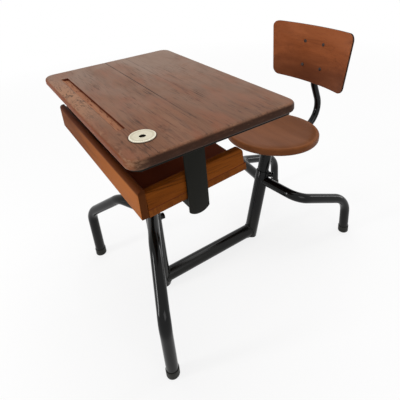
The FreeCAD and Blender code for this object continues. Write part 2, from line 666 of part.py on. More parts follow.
def make_carrier():
    """Flat rails under the top, side plates, cross channel and the inner tube."""
    rail_under = f"({TOP_UNDER} - sizes.rail_thick)"
    half_w = "sizes.rail_width / 2"
    half_l = f"{RAIL_LENGTH} / 2"
    middle = f"({RAIL_OUTER} - {half_w})"
    for side, sign in SIDES:
        rail = padded("rail", "XY_Plane", (
            (f"-{half_w}", f"-{half_l}"), (half_w, f"-{half_l}"),
            (half_w, half_l), (f"-{half_w}", half_l)), "sizes.rail_thick")
        outside = max(edge.BoundBox.XMin * sign for edge in rail.Shape.Edges)
        eased(rail, "Chamfer",
              lambda edge: along(Vector(0, 0, 1))(edge)
              and abs(edge.BoundBox.XMin * sign - outside) < SAME, "sizes.rail_chamfer")
        at(rail, f"{sign} * {middle}", "sizes.top_setback", rail_under)
        holes = [rod(PILOT_R, f"sizes.rail_thick + 2 * {OVER}", x, y, f"{rail_under} - {OVER}")
                 for x, y in RAIL_SCREWS if x.startswith(f"{sign} ")]
        drilled = cut(rail, *holes)
        keep(at(drilled, "0", "sizes.desk_post_y", "0"), f"top_rail_{side}")
        make_side_plate(side, sign, rail_under)
    screws = [upright_screw(x, y, rail_under, "sizes.rail_thick") for x, y in RAIL_SCREWS]
    keep(at(group(screws), "0", "sizes.desk_post_y", "0"), "rail_screws")


def make_side_plate(side, sign, top):
    """A flat plate with a rounded lower end that hangs from a rail."""
    half = "sizes.plate_width / 2"
    corner = f"{TRAY_LEVEL} - sizes.plate_drop"
    radius = number("sizes.plate_end_radius")
    drop = f"(sizes.plate_end_radius - sqrt(sizes.plate_end_radius ^ 2 - ({half}) ^ 2))"
    body = body_with("side_plate")
    sketch = sketch_on(body, "YZ_Plane")
    low = number(corner)
    high = number(top)
    reach = number(half)
    dip = number(drop)
    corners = [Vector(reach, low, 0), Vector(reach, high, 0),
               Vector(-reach, high, 0), Vector(-reach, low, 0)]
    for start, end in zip(corners, corners[1:]):
        sketch.addGeometry(Part.LineSegment(start, end))
    sketch.addGeometry(Part.Arc(corners[3], Vector(0, low - dip, 0), corners[0]))
    for first, second in ((0, 1), (1, 2), (2, 3)):
        sketch.addConstraint(Sketcher.Constraint("Coincident", first, 2, second, 1))
    sketch.addConstraint(Sketcher.Constraint("Coincident", 3, 2, 0, 1))
    for line in (0, 2):
        sketch.addConstraint(Sketcher.Constraint("Vertical", line))
    sketch.addConstraint(Sketcher.Constraint("Horizontal", 1))
    held = (("DistanceX", (-1, 1, 0, 1), reach, half),
            ("DistanceX", (-1, 1, 2, 2), -reach, f"-{half}"),
            ("DistanceY", (-1, 1, 0, 1), low, corner),
            ("DistanceY", (-1, 1, 0, 2), high, top),
            ("Radius", (3,), radius, "sizes.plate_end_radius"))
    for kind, refs, size, expression in held:
        sketch.addConstraint(Sketcher.Constraint(kind, *refs, size))
        sketch.setExpression(f"Constraints[{sketch.ConstraintCount - 1}]", expression)
    pad = body.newObject("PartDesign::Pad", "pad")
    pad.Profile = sketch
    bind(pad, Length="sizes.plate_thick")
    doc.recompute()
    shift = "0" if sign > 0 else "-sizes.plate_thick"
    at(body, f"{sign} * {PLATE_INNER} + ({shift})", "sizes.desk_post_y", "0")
    return keep(body, f"side_plate_{side}")


CHANNEL_SCREWS = [(f"{sign} * {reach}", "0") for _, sign in SIDES
                  for reach in ("sizes.channel_screw_inner",
                                f"({PLATE_INNER} - sizes.channel_screw_end)")]


def make_channel():
    """A channel, open downwards, that ties the side plates and carries the tray."""
    half = "sizes.plate_width / 2"
    wall = "sizes.channel_wall"
    deep = "sizes.channel_height"
    channel = padded("channel", "YZ_Plane", (
        (f"-{half}", "0"), (f"-{half}", f"-{deep}"), (f"-{half} + {wall}", f"-{deep}"),
        (f"-{half} + {wall}", f"-{wall}"), (f"{half} - {wall}", f"-{wall}"),
        (f"{half} - {wall}", f"-{deep}"), (half, f"-{deep}"), (half, "0")),
        f"2 * {PLATE_INNER}", both_ways=True)
    eased(channel, "Fillet",
          lambda edge: along(Vector(1, 0, 0))(edge) and at_level(0)(edge), "sizes.channel_bend")
    holes = [rod(PILOT_R, f"{wall} + 2 * {OVER}", x, y, f"-{wall} - {OVER}")
             for x, y in CHANNEL_SCREWS]
    keep(stand(cut(channel, *holes), "tray"), "cross_channel")
    screws = [upright_screw(x, y, f"-{wall}", wall) for x, y in CHANNEL_SCREWS]
    keep(stand(group(screws), "tray"), "channel_screws")

    length = f"({TRAY_LEVEL} - sizes.desk_tube_foot)"
    outer = rod(INNER_R, length, z="sizes.desk_tube_foot")
    bore = rod(f"{INNER_R} - sizes.inner_wall", length, z="sizes.desk_tube_foot")
    tube = at(cut(outer, bore), "0", "sizes.desk_post_y", "0")
    above = stand(rod("sizes.sleeve_outer", f"{ROOM}"), "tray", f"-{wall}")
    keep(cut(tube, above), "desk_inner_tube")


# ---------------------------------------------------------------- book tray

FRONT_BACK = "(sizes.tray_front_thick - sizes.tray_front)"
FRONT_FOOT = f"({TRAY_LEVEL} - sizes.tray_front_drop)"
STAY_TOP_Y = f"({FRONT_BACK} + sizes.stay_top_screw)"
STAY_SIDE_Z = f"({FRONT_FOOT} + sizes.stay_foot + sizes.stay_side_screw)"
STAY_X = [f"{sign} * sizes.stay_screw_spread / 2" for _, sign in SIDES]
SIDE_PILOT = f"sizes.screw_grip + sizes.screw_gap + {OVER}"


def stay_top_screws():
    """Places of the stay's screws up into the top."""
    return [(x, STAY_TOP_Y) for x in STAY_X]


def behind_front(height):
    """Distance y, in the tray's tilted place, of the front board's back at a height."""
    return f"(({FRONT_BACK} + ({height}) * sin(sizes.tray_tilt)) / cos(sizes.tray_tilt))"


def make_tray():
    """An open wooden tray: an upright front on a tilted bottom and two sides."""
    rear = "(sizes.tray_rear + sizes.tray_floor_lip)"
    low = "sizes.tray_floor"
    floor = padded("floor_board", "YZ_Plane", (
        (behind_front("0"), "0"), (rear, "0"), (rear, low), (behind_front(low), low)),
        f"2 * {TRAY_HALF}", both_ways=True)
    pilots = [rod(PILOT_R, SIDE_PILOT, x, y, f"-{OVER}") for x, y in CHANNEL_SCREWS]
    keep(stand(cut(floor, *pilots), "tray"), "tray_bottom_board")

    crest = f"({low} + sizes.tray_side_height)"
    for side, sign in SIDES:
        board = padded("side_board", "YZ_Plane", (
            (behind_front(low), low), ("sizes.tray_rear", low),
            ("sizes.tray_rear", crest), (behind_front(crest), crest)), "sizes.tray_board")
        eased(board, "Fillet",
              lambda edge: along(Vector(1, 0, 0))(edge)
              and edge.BoundBox.ZMin > number(low) and edge.BoundBox.YMin > 0,
              "sizes.tray_side_round")
        inner = f"{TRAY_HALF} - sizes.tray_board" if sign > 0 else f"-{TRAY_HALF}"
        moved = group([at(board, inner, "0", "0")])
        keep(stand(moved, "tray"), f"tray_side_{side}")

    top = f"({FRONT_FOOT} + sizes.tray_front_height)"
    front = padded("front_board", "YZ_Plane", (
        ("-sizes.tray_front", FRONT_FOOT), (FRONT_BACK, FRONT_FOOT), (FRONT_BACK, top),
        ("-sizes.tray_front", top)), f"2 * {TRAY_HALF}", both_ways=True)
    middle = number(f"{FRONT_BACK} - sizes.tray_front_thick / 2")
    for rounding, outside in (("sizes.tray_front_round", True), ("sizes.tray_front_ease", False)):
        eased(front, "Fillet",
              lambda edge: along(Vector(1, 0, 0))(edge)
              and abs(edge.BoundBox.ZMin - number(top)) < SAME
              and (edge.BoundBox.YMin < middle) == outside, rounding)
    pilots = [rod(PILOT_R, SIDE_PILOT, x,
                  f"{FRONT_BACK} - sizes.screw_grip - sizes.screw_gap", STAY_SIDE_Z, "y")
              for x in STAY_X]
    board = cut(front, *pilots)
    keep(at(board, "0", "sizes.desk_post_y", "0"), "tray_front_board")


def make_stay():
    """A bent steel stay from the front board up to the underside of the top."""
    thick = "sizes.stay_thick"
    inner = f"({FRONT_BACK} + {thick})"
    end = f"({FRONT_BACK} + sizes.stay_leg)"
    foot = f"({FRONT_FOOT} + sizes.stay_foot)"
    stay = padded("stay", "YZ_Plane", (
        (FRONT_BACK, foot), (inner, foot), (inner, f"{TOP_UNDER} - {thick}"),
        (end, f"{TOP_UNDER} - {thick}"), (end, TOP_UNDER), (FRONT_BACK, TOP_UNDER)),
        "sizes.stay_width", both_ways=True)
    front = number(FRONT_BACK)
    eased(stay, "Fillet",
          lambda edge: at_level(number(TOP_UNDER))(edge) and edge.BoundBox.YMax < front + SAME,
          "sizes.stay_bend")
    length = f"{thick} + 2 * {OVER}"
    holes = [rod(PILOT_R, length, x, f"{FRONT_BACK} - {OVER}", STAY_SIDE_Z, "y")
             for x in STAY_X]
    holes += [rod(PILOT_R, length, x, y, f"{TOP_UNDER} - {thick} - {OVER}")
              for x, y in stay_top_screws()]
    keep(at(cut(stay, *holes), "0", "sizes.desk_post_y", "0"), "front_stay")

    screws = [upright_screw(x, y, f"({TOP_UNDER} - {thick})", thick)
              for x, y in stay_top_screws()]
    for x in STAY_X:
        head = rod("sizes.screw_head / 2", "sizes.screw_head_height", x, inner,
                   STAY_SIDE_Z, "y")
        shank = rod(SCREW_R, f"sizes.screw_grip + {thick}", x,
                    f"{FRONT_BACK} - sizes.screw_grip", STAY_SIDE_Z, "y")
        screws.append(join([head, shank]))
    keep(at(group(screws), "0", "sizes.desk_post_y", "0"), "stay_screws")


# ---------------------------------------------------------------- stool

PLATE_UNDER = "(-sizes.seat_thick - sizes.seat_plate_thick)"
BACK_TUBE_R = "sizes.back_tube_outer / 2"
SEAT_SCREWS = [(f"{across} * sizes.seat_screw_spread / 2", f"{behind} * sizes.seat_screw_spread / 2")
               for _, across in SIDES for _, behind in SIDES]


def make_seat():
    """The dished wooden disc, its steel plate and the stem that carries them."""
    half = "sizes.seat_diameter / 2"
    disc = revolved("seat_blank", (
        ("0", "-sizes.seat_thick"), (half, "-sizes.seat_thick"), (half, "0"), ("0", "0")))
    eased(disc, "Fillet", rim_at(0), "sizes.seat_top_round")
    eased(disc, "Fillet", rim_at(-number("sizes.seat_thick")), "sizes.seat_under_round")
    ball = doc.addObject("Part::Sphere", "dish")
    depth = "sizes.seat_dish_depth"
    ball_r = f"(((sizes.seat_dish / 2) ^ 2 + {depth} ^ 2) / (2 * {depth}))"
    bind(ball, Radius=ball_r)
    at(ball, "0", "0", f"{ball_r} - {depth}")
    pilots = [rod(PILOT_R, SIDE_PILOT, x, y, f"-sizes.seat_thick - {OVER}")
              for x, y in SEAT_SCREWS]
    keep(stand(cut(disc, ball, *pilots), "seat"), "seat_disc")

    plate = rod("sizes.seat_plate / 2", "sizes.seat_plate_thick", z=PLATE_UNDER)
    holes = [rod(PILOT_R, f"sizes.seat_plate_thick + 2 * {OVER}", x, y,
                 f"{PLATE_UNDER} - {OVER}") for x, y in SEAT_SCREWS]
    keep(stand(cut(plate, *holes), "seat"), "seat_plate")
    screws = [upright_screw(x, y, PLATE_UNDER, "sizes.seat_plate_thick")
              for x, y in SEAT_SCREWS]
    keep(stand(group(screws), "seat"), "seat_screws")

    length = "(sizes.seat_reach - sizes.seat_stem_foot)"
    outer = rod(INNER_R, length, z="sizes.seat_stem_foot")
    bore = rod(f"{INNER_R} - sizes.inner_wall", length, z="sizes.seat_stem_foot")
    stem = stand(cut(outer, bore), "seat_post")
    above = stand(rod("sizes.sleeve_outer", f"{ROOM}"), "seat", PLATE_UNDER)
    keep(cut(stem, above), "seat_stem")


def back_tube_points():
    """Corner points of the back tube, which lies in the middle plane."""
    tilt = math.radians(number("sizes.seat_tilt"))
    lean = math.radians(number("sizes.back_lean"))
    seat = Vector(0, number(SEAT_Y), number(SEAT_Z))
    under = number(f"{PLATE_UNDER} - {BACK_TUBE_R}")
    back = seat + Vector(0, number("sizes.back_y"), number("sizes.back_z"))
    behind = number(f"(sizes.back_thick + sizes.strap_thick + {BACK_TUBE_R})")

    def run(y):
        """A point of the lower run, under the seat plate."""
        z = seat.z + (under - y * math.sin(tilt)) / math.cos(tilt)
        return Vector(0, seat.y + y, z)

    def rise(z):
        """A point of the upper run, behind the back."""
        y = back.y + behind / math.cos(lean) + (z - back.z) * math.tan(lean)
        return Vector(0, y, z)

    corner = number("sizes.back_tube_corner")
    return [run(0), run(corner), rise(seat.z + number("sizes.back_tube_knee")),
            rise(back.z + number("sizes.back_tube_top"))]


def make_back_tube():
    """The bent tube from the stem up to the back, coped to the stem."""
    bends = [number(f"sizes.back_tube_{bend}_bend") for bend in ("corner", "knee")]
    tube = bent_tube(back_tube_points(), bends, "sizes.back_tube_outer",
                     "sizes.back_tube_wall")
    stem = stand(rod(INNER_R, "sizes.seat_reach"), "seat_post")
    keep(cut(tube, stem), "back_tube")


def curved_sheet(start, thick, height):
    """A ring of sheet about an upright axis in front of the back."""
    centre = "-sizes.back_radius"
    outer = rod(f"sizes.back_radius + {start} + {thick}", height, y=centre,
                z=f"-({height}) / 2")
    inner = rod(f"sizes.back_radius + {start}", height, y=centre, z=f"-({height}) / 2")
    return cut(outer, inner)


def radial(bar, near, sign, z):
    """Lay an upright bar square to the curved back, from a depth behind its front face."""
    angle = f"asin({sign} * sizes.back_screw_x / sizes.back_radius)"
    flat = Rotation(Vector(0, 0, 1), Vector(0, 1, 0))
    bar.Placement.Rotation = Rotation(Vector(0, 0, 1), -number(angle)) * flat
    distance = f"(sizes.back_radius + {near})"
    return at(bar, f"{distance} * sin({angle})",
              f"{distance} * cos({angle}) - sizes.back_radius", z)


def make_back():
    """The curved plywood back on two steel straps, with four screws and nuts."""
    half_top = "sizes.back_top_width / 2"
    half_foot = "sizes.back_foot_width / 2"
    half = "sizes.back_height / 2"
    outline = padded("back_outline", "XZ_Plane", (
        (f"-{half_foot}", f"-{half}"), (half_foot, f"-{half}"),
        (half_top, half), (f"-{half_top}", half)), "sizes.back_radius", both_ways=True)
    eased(outline, "Fillet", along(Vector(0, 1, 0)), "sizes.back_corner")
    places = [(sign, f"{step} * sizes.strap_spread") for _, sign in SIDES for step in (-1, 1)]
    hole = "(sizes.back_screw_diameter / 2 + sizes.screw_gap)"
    holes = [radial(rod(hole, f"2 * {ROOM}"), f"-{ROOM}", *place) for place in places]
    tall = f"(sizes.back_height + 2 * {OVER})"
    shell = overlap_of(curved_sheet("0", "sizes.back_thick", tall), outline)
    keep(stand(cut(shell, *holes), "back"), "backrest")

    half_w = "sizes.strap_width / 2"
    half_h = "sizes.strap_height / 2"
    strap_outline = padded("strap_outline", "XZ_Plane", (
        (f"-{half_w}", f"-{half_h}"), (half_w, f"-{half_h}"),
        (half_w, half_h), (f"-{half_w}", half_h)), "sizes.back_radius", both_ways=True)
    eased(strap_outline, "Fillet", along(Vector(0, 1, 0)), "sizes.strap_corner")
    for name, step in (("upper", 1), ("lower", -1)):
        sheet_ring = curved_sheet("sizes.back_thick", "sizes.strap_thick",
                                  f"(sizes.strap_height + 2 * {OVER})")
        strap = overlap_of(sheet_ring, strap_outline)
        own = [radial(rod(hole, f"2 * {ROOM}"), f"-{ROOM}", sign, "0") for _, sign in SIDES]
        keep(stand(cut(strap, *own), "back", f"{step} * sizes.strap_spread"),
             f"back_strap_{name}")

    gap = "sizes.head_gap"
    behind = f"(sizes.back_thick + sizes.strap_thick + {gap})"
    head_near = f"(-sizes.back_screw_head_height - {gap})"
    reach = f"{behind} + sizes.nut_height + sizes.back_screw_end - {head_near}"
    screws = []
    nuts = []
    for place in places:
        head = rod("sizes.back_screw_head / 2", "sizes.back_screw_head_height")
        shank = rod("sizes.back_screw_diameter / 2", reach)
        screws.append(join([radial(bar, head_near, *place) for bar in (head, shank)]))
        nut = cut(hexagon("sizes.nut_size", "sizes.nut_height"), rod(hole, "sizes.nut_height"))
        nuts.append(radial(nut, behind, *place))
    keep(stand(group(screws), "back"), "back_screws")
    keep(stand(group(nuts), "back"), "back_nuts")


# ---------------------------------------------------------------- build and write

for post in POSTS:
    make_post(*post)
make_link()
make_legs()
make_top()
make_inkwell()
make_carrier()
make_channel()
make_tray()
make_stay()
make_seat()
make_back_tube()
make_back()
doc.recompute()

for thing in doc.Objects:
    if "Invalid" in thing.State or "Error" in thing.State:
        raise RuntimeError(f"{thing.Label} ({thing.Name}) did not rebuild: {thing.State}")
for node in NODES:
    if node.Shape.isNull() or not node.Shape.isValid() or not node.Shape.Solids:
        raise RuntimeError(f"{node.Label} has no valid solid")

os.makedirs("parts", exist_ok=True)
for node in NODES:
    node.Shape.exportStep(os.path.join("parts", f"{node.Label}.step"))
    box = node.Shape.BoundBox
    print(f"{node.Label:20s} {len(node.Shape.Solids):2d} solid(s) {node.Shape.Volume:12.1f} mm3"
          f"  y {box.YMin:8.1f} {box.YMax:8.1f}  z {box.ZMin:7.1f} {box.ZMax:7.1f}")
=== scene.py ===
"""Looks of a pupil's desk and stool that share one bent-tube frame.

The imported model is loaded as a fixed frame. Every visible piece is then worked out
here as a surface in metres, in that same frame, and rides on one of its bodies.
+Z is up, +X is the pupil's left and -Y is the front of the desk.
"""

import logging
import math
from dataclasses import dataclass, field
from enum import Enum
from functools import cached_property, partial, reduce
from typing import Iterable, Optional, Sequence

import bmesh
import bpy
import numpy as np
from mathutils import Matrix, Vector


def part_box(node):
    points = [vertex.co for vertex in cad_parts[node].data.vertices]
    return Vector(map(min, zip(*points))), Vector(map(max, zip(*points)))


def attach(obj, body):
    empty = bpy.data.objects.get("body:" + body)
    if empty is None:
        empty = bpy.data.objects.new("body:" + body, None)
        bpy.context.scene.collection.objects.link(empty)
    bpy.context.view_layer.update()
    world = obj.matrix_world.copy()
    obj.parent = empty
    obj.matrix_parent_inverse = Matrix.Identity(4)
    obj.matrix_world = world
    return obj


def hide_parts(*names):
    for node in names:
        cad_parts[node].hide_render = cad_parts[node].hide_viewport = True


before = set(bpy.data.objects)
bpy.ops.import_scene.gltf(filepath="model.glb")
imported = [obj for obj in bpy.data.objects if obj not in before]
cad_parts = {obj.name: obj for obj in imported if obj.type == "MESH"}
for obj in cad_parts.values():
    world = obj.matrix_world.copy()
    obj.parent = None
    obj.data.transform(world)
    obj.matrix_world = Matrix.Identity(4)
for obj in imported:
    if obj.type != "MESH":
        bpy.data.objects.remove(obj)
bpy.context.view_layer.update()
LOG = logging.getLogger("desk")

Array = np.ndarray
Triple = tuple[float, float, float]
Colour = Triple
Pair = tuple[float, float]
Socket = bpy.types.NodeSocket

MM = 0.001
TURN = 2 * math.pi
MERGE = 2e-6
CRISP = 1e-6
INKWELL_CUP = 0.021
HEX_STEPS = 8
X_AXIS = np.array((1.0, 0.0, 0.0))
Y_AXIS = np.array((0.0, 1.0, 0.0))
Z_AXIS = np.array((0.0, 0.0, 1.0))


class Body(Enum):
    """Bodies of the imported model."""

    BASE = "base"
    TOP = "desk_top"
    INKWELL = "inkwell"
    STOOL = "stool"
    DESK_CLAMP = "desk_clamp"
    SEAT_CLAMP = "seat_clamp"


class Side(Enum):
    """The pupil's left and right, with the sign of X."""

    LEFT = 1
    RIGHT = -1

    @property
    def label(self) -> str:
        """Name of the side as the nodes use it."""
        return self.name.lower()


class Grain(Enum):
    """Direction of a board's grain."""

    ALONG_X = 0
    ALONG_Y = 1


# ------------------------------------------------------------------ measures

def srgb(red: int, green: int, blue: int) -> Colour:
    """Turn a colour of 0 to 255 into linear light."""
    shares = (channel / 255 for channel in (red, green, blue))
    return tuple(s / 12.92 if s <= 0.04045 else ((s + 0.055) / 1.055) ** 2.4 for s in shares)


def unit(vectors: Array) -> Array:
    """Scale vectors along the last axis to length one."""
    return vectors / np.linalg.norm(vectors, axis=-1, keepdims=True)


def extent(*nodes: str) -> tuple[Array, Array]:
    """Lowest and highest corner of some nodes together.

    Args:
        nodes: Names of CAD nodes.

    Returns:
        The low and the high corner in metres.
    """
    boxes = [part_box(node) for node in nodes]
    low = np.min([np.array(box[0]) for box in boxes], axis=0)
    high = np.max([np.array(box[1]) for box in boxes], axis=0)
    return low, high


def well() -> tuple[float, float, float, float]:
    """Middle in X and Y, radius and height of the inkwell's flange."""
    low, high = extent("inkwell")
    x, y, _ = (low + high) / 2
    return x, y, (high[0] - low[0]) / 2, high[2]


@dataclass(frozen=True)
class Place:
    """An origin and a turn about X, in degrees, that several pieces share."""

    origin: Triple
    tilt: float = 0.0

    def world(self, points: Array) -> Array:
        """Carry points of this place into the frame: turn about X, then move."""
        return self.turned(points) + np.array(self.origin)

    def turned(self, points: Array) -> Array:
        """Turn points or directions about X: y and z mix, x stays.

        Args:
            points: Rows of x, y and z.

        Returns:
            The turned rows.
        """
        angle = math.radians(self.tilt)
        x, y, z = np.moveaxis(np.asarray(points, float), -1, 0)
        across = y * math.cos(angle) - z * math.sin(angle)
        up = y * math.sin(angle) + z * math.cos(angle)
        return np.stack((x, across, up), axis=-1)

    def carried(self, shell: "Shell") -> "Shell":
        """Carry a whole shell of this place into the frame."""
        rows = np.stack([self.turned(axis) for axis in (X_AXIS, Y_AXIS, Z_AXIS)])
        return Shell().add(shell, rows, np.array(self.origin))


@dataclass(frozen=True)
class Layout:
    """Driving dimensions that tie the sub-assemblies together."""

    post_distance: float = 0.382
    post_lean: float = 15.0
    seat_reach: float = 0.409
    seat_setback: float = 0.006
    seat_tilt: float = 5.0
    back_behind: float = 0.1948
    back_above: float = 0.2322
    back_lean: float = 8.0
    tray_level: float = 0.547
    tray_tilt: float = 3.1

    @property
    def desk_y(self) -> float:
        """Y of the desk post's axis."""
        low, high = extent("desk_sleeve")
        return float(low[1] + high[1]) / 2

    @property
    def link_z(self) -> float:
        """Height of the low link's axis."""
        low, high = extent("link_tube")
        return float(low[2] + high[2]) / 2

    @property
    def desk_post(self) -> Place:
        """The upright post, from the floor."""
        return Place((0.0, self.desk_y, 0.0))

    @property
    def seat_post(self) -> Place:
        """The leaning post, from the link's axis."""
        return Place((0.0, self.desk_y + self.post_distance, self.link_z), -self.post_lean)

    @property
    def tray(self) -> Place:
        """The tray's underside at the desk post."""
        return Place((0.0, self.desk_y, self.tray_level), self.tray_tilt)

    @property
    def seat(self) -> Place:
        """The middle of the seat's upper face."""
        head = self.seat_post.world(np.array((0.0, 0.0, self.seat_reach)))
        return Place((0.0, float(head[1]) + self.seat_setback, float(head[2])), -self.seat_tilt)

    @property
    def back(self) -> Place:
        """The middle of the back's front face."""
        seat = self.seat.origin
        return Place((0.0, seat[1] + self.back_behind, seat[2] + self.back_above), -self.back_lean)


LAYOUT = Layout()


# ------------------------------------------------------------------ surfaces

class Shell:
    """Collects grids and flat ends of one piece and closes them into a mesh."""

    def __init__(self) -> None:
        """Start with no points and no faces."""
        self.blocks: list[Array] = []
        self.faces: list[Sequence[int]] = []
        self.count = 0

    def grid(self, points: Array, round_rows: bool = False, round_columns: bool = False,
             keep: Optional[Array] = None) -> "Shell":
        """Add a surface of rows and columns as quads between neighbours.

        Args:
            points: Array of rows, columns and coordinates.
            round_rows: Join the last row to the first.
            round_columns: Join the last column to the first.
            keep: Mask of the quads that stay, or None for all of them.

        Returns:
            The shell itself.
        """
        rows, columns = points.shape[:2]
        index = np.arange(rows * columns).reshape(rows, columns) + self.count
        if round_rows:
            index = np.concatenate((index, index[:1]), axis=0)
        if round_columns:
            index = np.concatenate((index, index[:, :1]), axis=1)
        quads = np.stack((index[:-1, :-1], index[:-1, 1:], index[1:, 1:], index[1:, :-1]), axis=-1)
        quads = quads.reshape(-1, 4) if keep is None else quads[keep]
        self.faces.extend(quads.tolist())
        self._take(points.reshape(-1, 3))
        return self

    def sleeve(self, points: Array) -> "Shell":
        """Add a surface whose rows are closed rings."""
        return self.grid(points, round_columns=True)

    def flat(self, ring: Array) -> "Shell":
        """Add a flat end inside one ring of points."""
        self.faces.append(list(range(self.count, self.count + len(ring))))
        self._take(ring)
        return self

    def cone(self, ring: Array, shrink: float, shift: Array) -> "Shell":
        """Close a ring inside a tube: shrunk about its middle, moved and filled."""
        middle = ring.mean(0)
        core = middle + (ring - middle) * shrink + shift
        return self.sleeve(np.stack((ring, core))).flat(core)

    def add(self, other: "Shell", matrix: Optional[Array] = None,
            offset: Optional[Array] = None) -> "Shell":
        """Add a whole shell, turned by a matrix of rows and moved by an offset.

        Args:
            other: The shell to add.
            matrix: Rows that are the new X, Y and Z directions, or None.
            offset: Where the shell's origin goes, or None.

        Returns:
            The shell itself.
        """
        points = np.concatenate(other.blocks)
        if matrix is not None:
            points = points @ matrix
        if offset is not None:
            points = points + offset
        self.faces.extend([corner + self.count for corner in face] for face in other.faces)
        self._take(points)
        return self

    def mesh(self, name: str, sharp: float) -> bpy.types.Mesh:
        """Merge doubles, point every face outwards and shade smooth.

        Args:
            name: Name of the mesh.
            sharp: Angle in degrees above which an edge stays crisp.

        Returns:
            The finished mesh.
        """
        mesh = bpy.data.meshes.new(name)
        mesh.from_pydata(np.concatenate(self.blocks).tolist(), [], self.faces)
        work = bmesh.new()
        work.from_mesh(mesh)
        bmesh.ops.remove_doubles(work, verts=work.verts, dist=MERGE)
        bmesh.ops.dissolve_degenerate(work, edges=work.edges, dist=MERGE)
        bmesh.ops.recalc_face_normals(work, faces=work.faces)
        work.to_mesh(mesh)
        work.free()
        mesh.shade_smooth()
        mesh.set_sharp_from_angle(angle=math.radians(sharp))
        return mesh

    def _take(self, points: Array) -> None:
        """Keep a block of points."""
        self.blocks.append(np.asarray(points, float))
        self.count += len(points)


def circle(steps: int) -> Array:
    """Angles of a full turn without its end."""
    return np.linspace(0.0, TURN, steps, endpoint=False)


def hoop(radius: float | Array, level: float | Array, around: int) -> Array:
    """Points of a level ring about Z: r cos(a), r sin(a) and the level."""
    angles = circle(around)
    return np.stack((radius * np.cos(angles), radius * np.sin(angles), 0 * angles + level), 1)


def arc(centre: Pair, radius: float, start: float, end: float, steps: int = 6) -> Array:
    """Points of a circular arc in a plane, from a first to a last angle in degrees."""
    angles = np.radians(np.linspace(start, end, steps))
    return np.stack((centre[0] + radius * np.cos(angles), centre[1] + radius * np.sin(angles)), 1)


def rounded(corners: Sequence[Pair], radii: Sequence[float], steps: int = 5) -> Array:
    """Outline of a polygon whose corners are arcs tangent to both sides.

    Each corner P between unit directions a (to the corner before) and b (to the
    corner after) has its arc's centre on the bisector, radius / sin(half) from P.

    Args:
        corners: Corners in order.
        radii: Radius of each corner, zero for a crisp one.
        steps: Points of each arc.

    Returns:
        Array of points and two coordinates.
    """
    places = np.array(corners, float)
    pieces = []
    for index, (corner, radius) in enumerate(zip(places, radii)):
        if radius <= 0:
            pieces.append(corner[None])
            continue
        before = unit(places[index - 1] - corner)
        after = unit(places[(index + 1) % len(places)] - corner)
        half = math.acos(float(np.clip(before @ after, -1, 1))) / 2
        centre = corner + unit(before + after) * radius / math.sin(half)
        first = corner + before * radius / math.tan(half) - centre
        last = corner + after * radius / math.tan(half) - centre
        share = np.linspace(0, 1, steps)[:, None]
        swing = math.pi - 2 * half
        blend = (np.sin((1 - share) * swing) * first + np.sin(share * swing) * last) / math.sin(swing)
        pieces.append(centre + blend)
    return np.concatenate(pieces)


def inset(outline: Array, distance: float) -> Array:
    """Move a closed outline inwards along the mean normal of its two sides.

    Args:
        outline: Points in order.
        distance: How far each side moves.

    Returns:
        The moved points, as many as before.
    """
    ahead = unit(np.roll(outline, -1, 0) - outline)
    behind = np.roll(ahead, 1, 0)
    x, y = outline.T
    area = float(np.sum(x * np.roll(y, -1) - np.roll(x, -1) * y))
    sign = 1.0 if area > 0 else -1.0
    normals = unit(np.stack((-(ahead + behind)[:, 1], (ahead + behind)[:, 0]), 1)) * sign
    half = np.clip(np.sum(normals * np.stack((-ahead[:, 1], ahead[:, 0]), 1) * sign, 1), 0.5, 1)
    return outline + normals * (distance / half)[:, None]


def plank(outline: Array, low: float, high: float, ease: float, axis: int,
          steps: int = 4, stations: int = 2) -> Shell:
    """Carry an outline straight along an axis and round over both ends.

    At a depth d under an end the outline is inset by ease - sqrt(ease^2 - (ease - d)^2).

    Args:
        outline: Outline in the plane of the two other axes, in cyclic order.
        low: Where the piece starts along the axis.
        high: Where it ends.
        ease: Radius of the rounded ends.
        axis: 0 for X, 1 for Y and 2 for Z.
        steps: Rings of each rounded end.
        stations: Rings of the straight stretch.

    Returns:
        The closed shell.
    """
    angles = np.linspace(0, math.pi / 2, steps)
    depths = ease * (1 - np.cos(angles))
    insets = ease * (1 - np.sin(angles))
    along = np.concatenate((low + depths, np.linspace(low + ease, high - ease, stations)[1:-1],
                            (high - depths)[::-1]))
    inward = np.concatenate((insets, np.zeros(max(0, stations - 2)), insets[::-1]))
    rings = np.stack([inset(outline, distance) for distance in inward])
    points = np.zeros(rings.shape[:2] + (3,))
    points[..., axis] = along[:, None]
    points[..., (axis + 1) % 3] = rings[..., 0]
    points[..., (axis + 2) % 3] = rings[..., 1]
    shell = Shell().sleeve(points)
    return shell.flat(points[0]).flat(points[-1])


def outlined(*parts: object) -> Array:
    """Join points and arcs, in order, into one array of points with two coordinates."""
    return np.concatenate([np.reshape(part, (-1, 2)) for part in parts])


def turned(profile: Array, steps: int, closed: bool = False) -> Shell:
    """Turn a profile of radius and height about Z.

    Args:
        profile: Points of radius and height, from pole to pole or closed.
        steps: Points of the full turn.
        closed: Join the profile's end to its start.

    Returns:
        The closed shell.
    """
    angles = circle(steps)[None, :]
    radius, height = profile[:, 0][:, None], profile[:, 1][:, None]
    points = np.stack((radius * np.cos(angles), radius * np.sin(angles), height * np.ones_like(angles)),
                      axis=-1)
    return Shell().grid(points, round_rows=closed, round_columns=True)


def basis(direction: Array) -> Array:
    """Rows that carry local X, Y and Z so that Z runs along a direction.

    Args:
        direction: Where local Z goes.

    Returns:
        A matrix whose rows are the new X, Y and Z directions.
    """
    up = unit(np.asarray(direction, float))
    helper = X_AXIS if abs(up[0]) < 0.9 else Y_AXIS
    across = unit(np.cross(helper, up))
    return np.stack((np.cross(across, up), across, up))


@dataclass(frozen=True)
class Line:
    """A bent line as arrays: centres, tangents, inward directions and bend shares."""

    centres: Array
    tangents: Array
    inward: Array
    share: Array


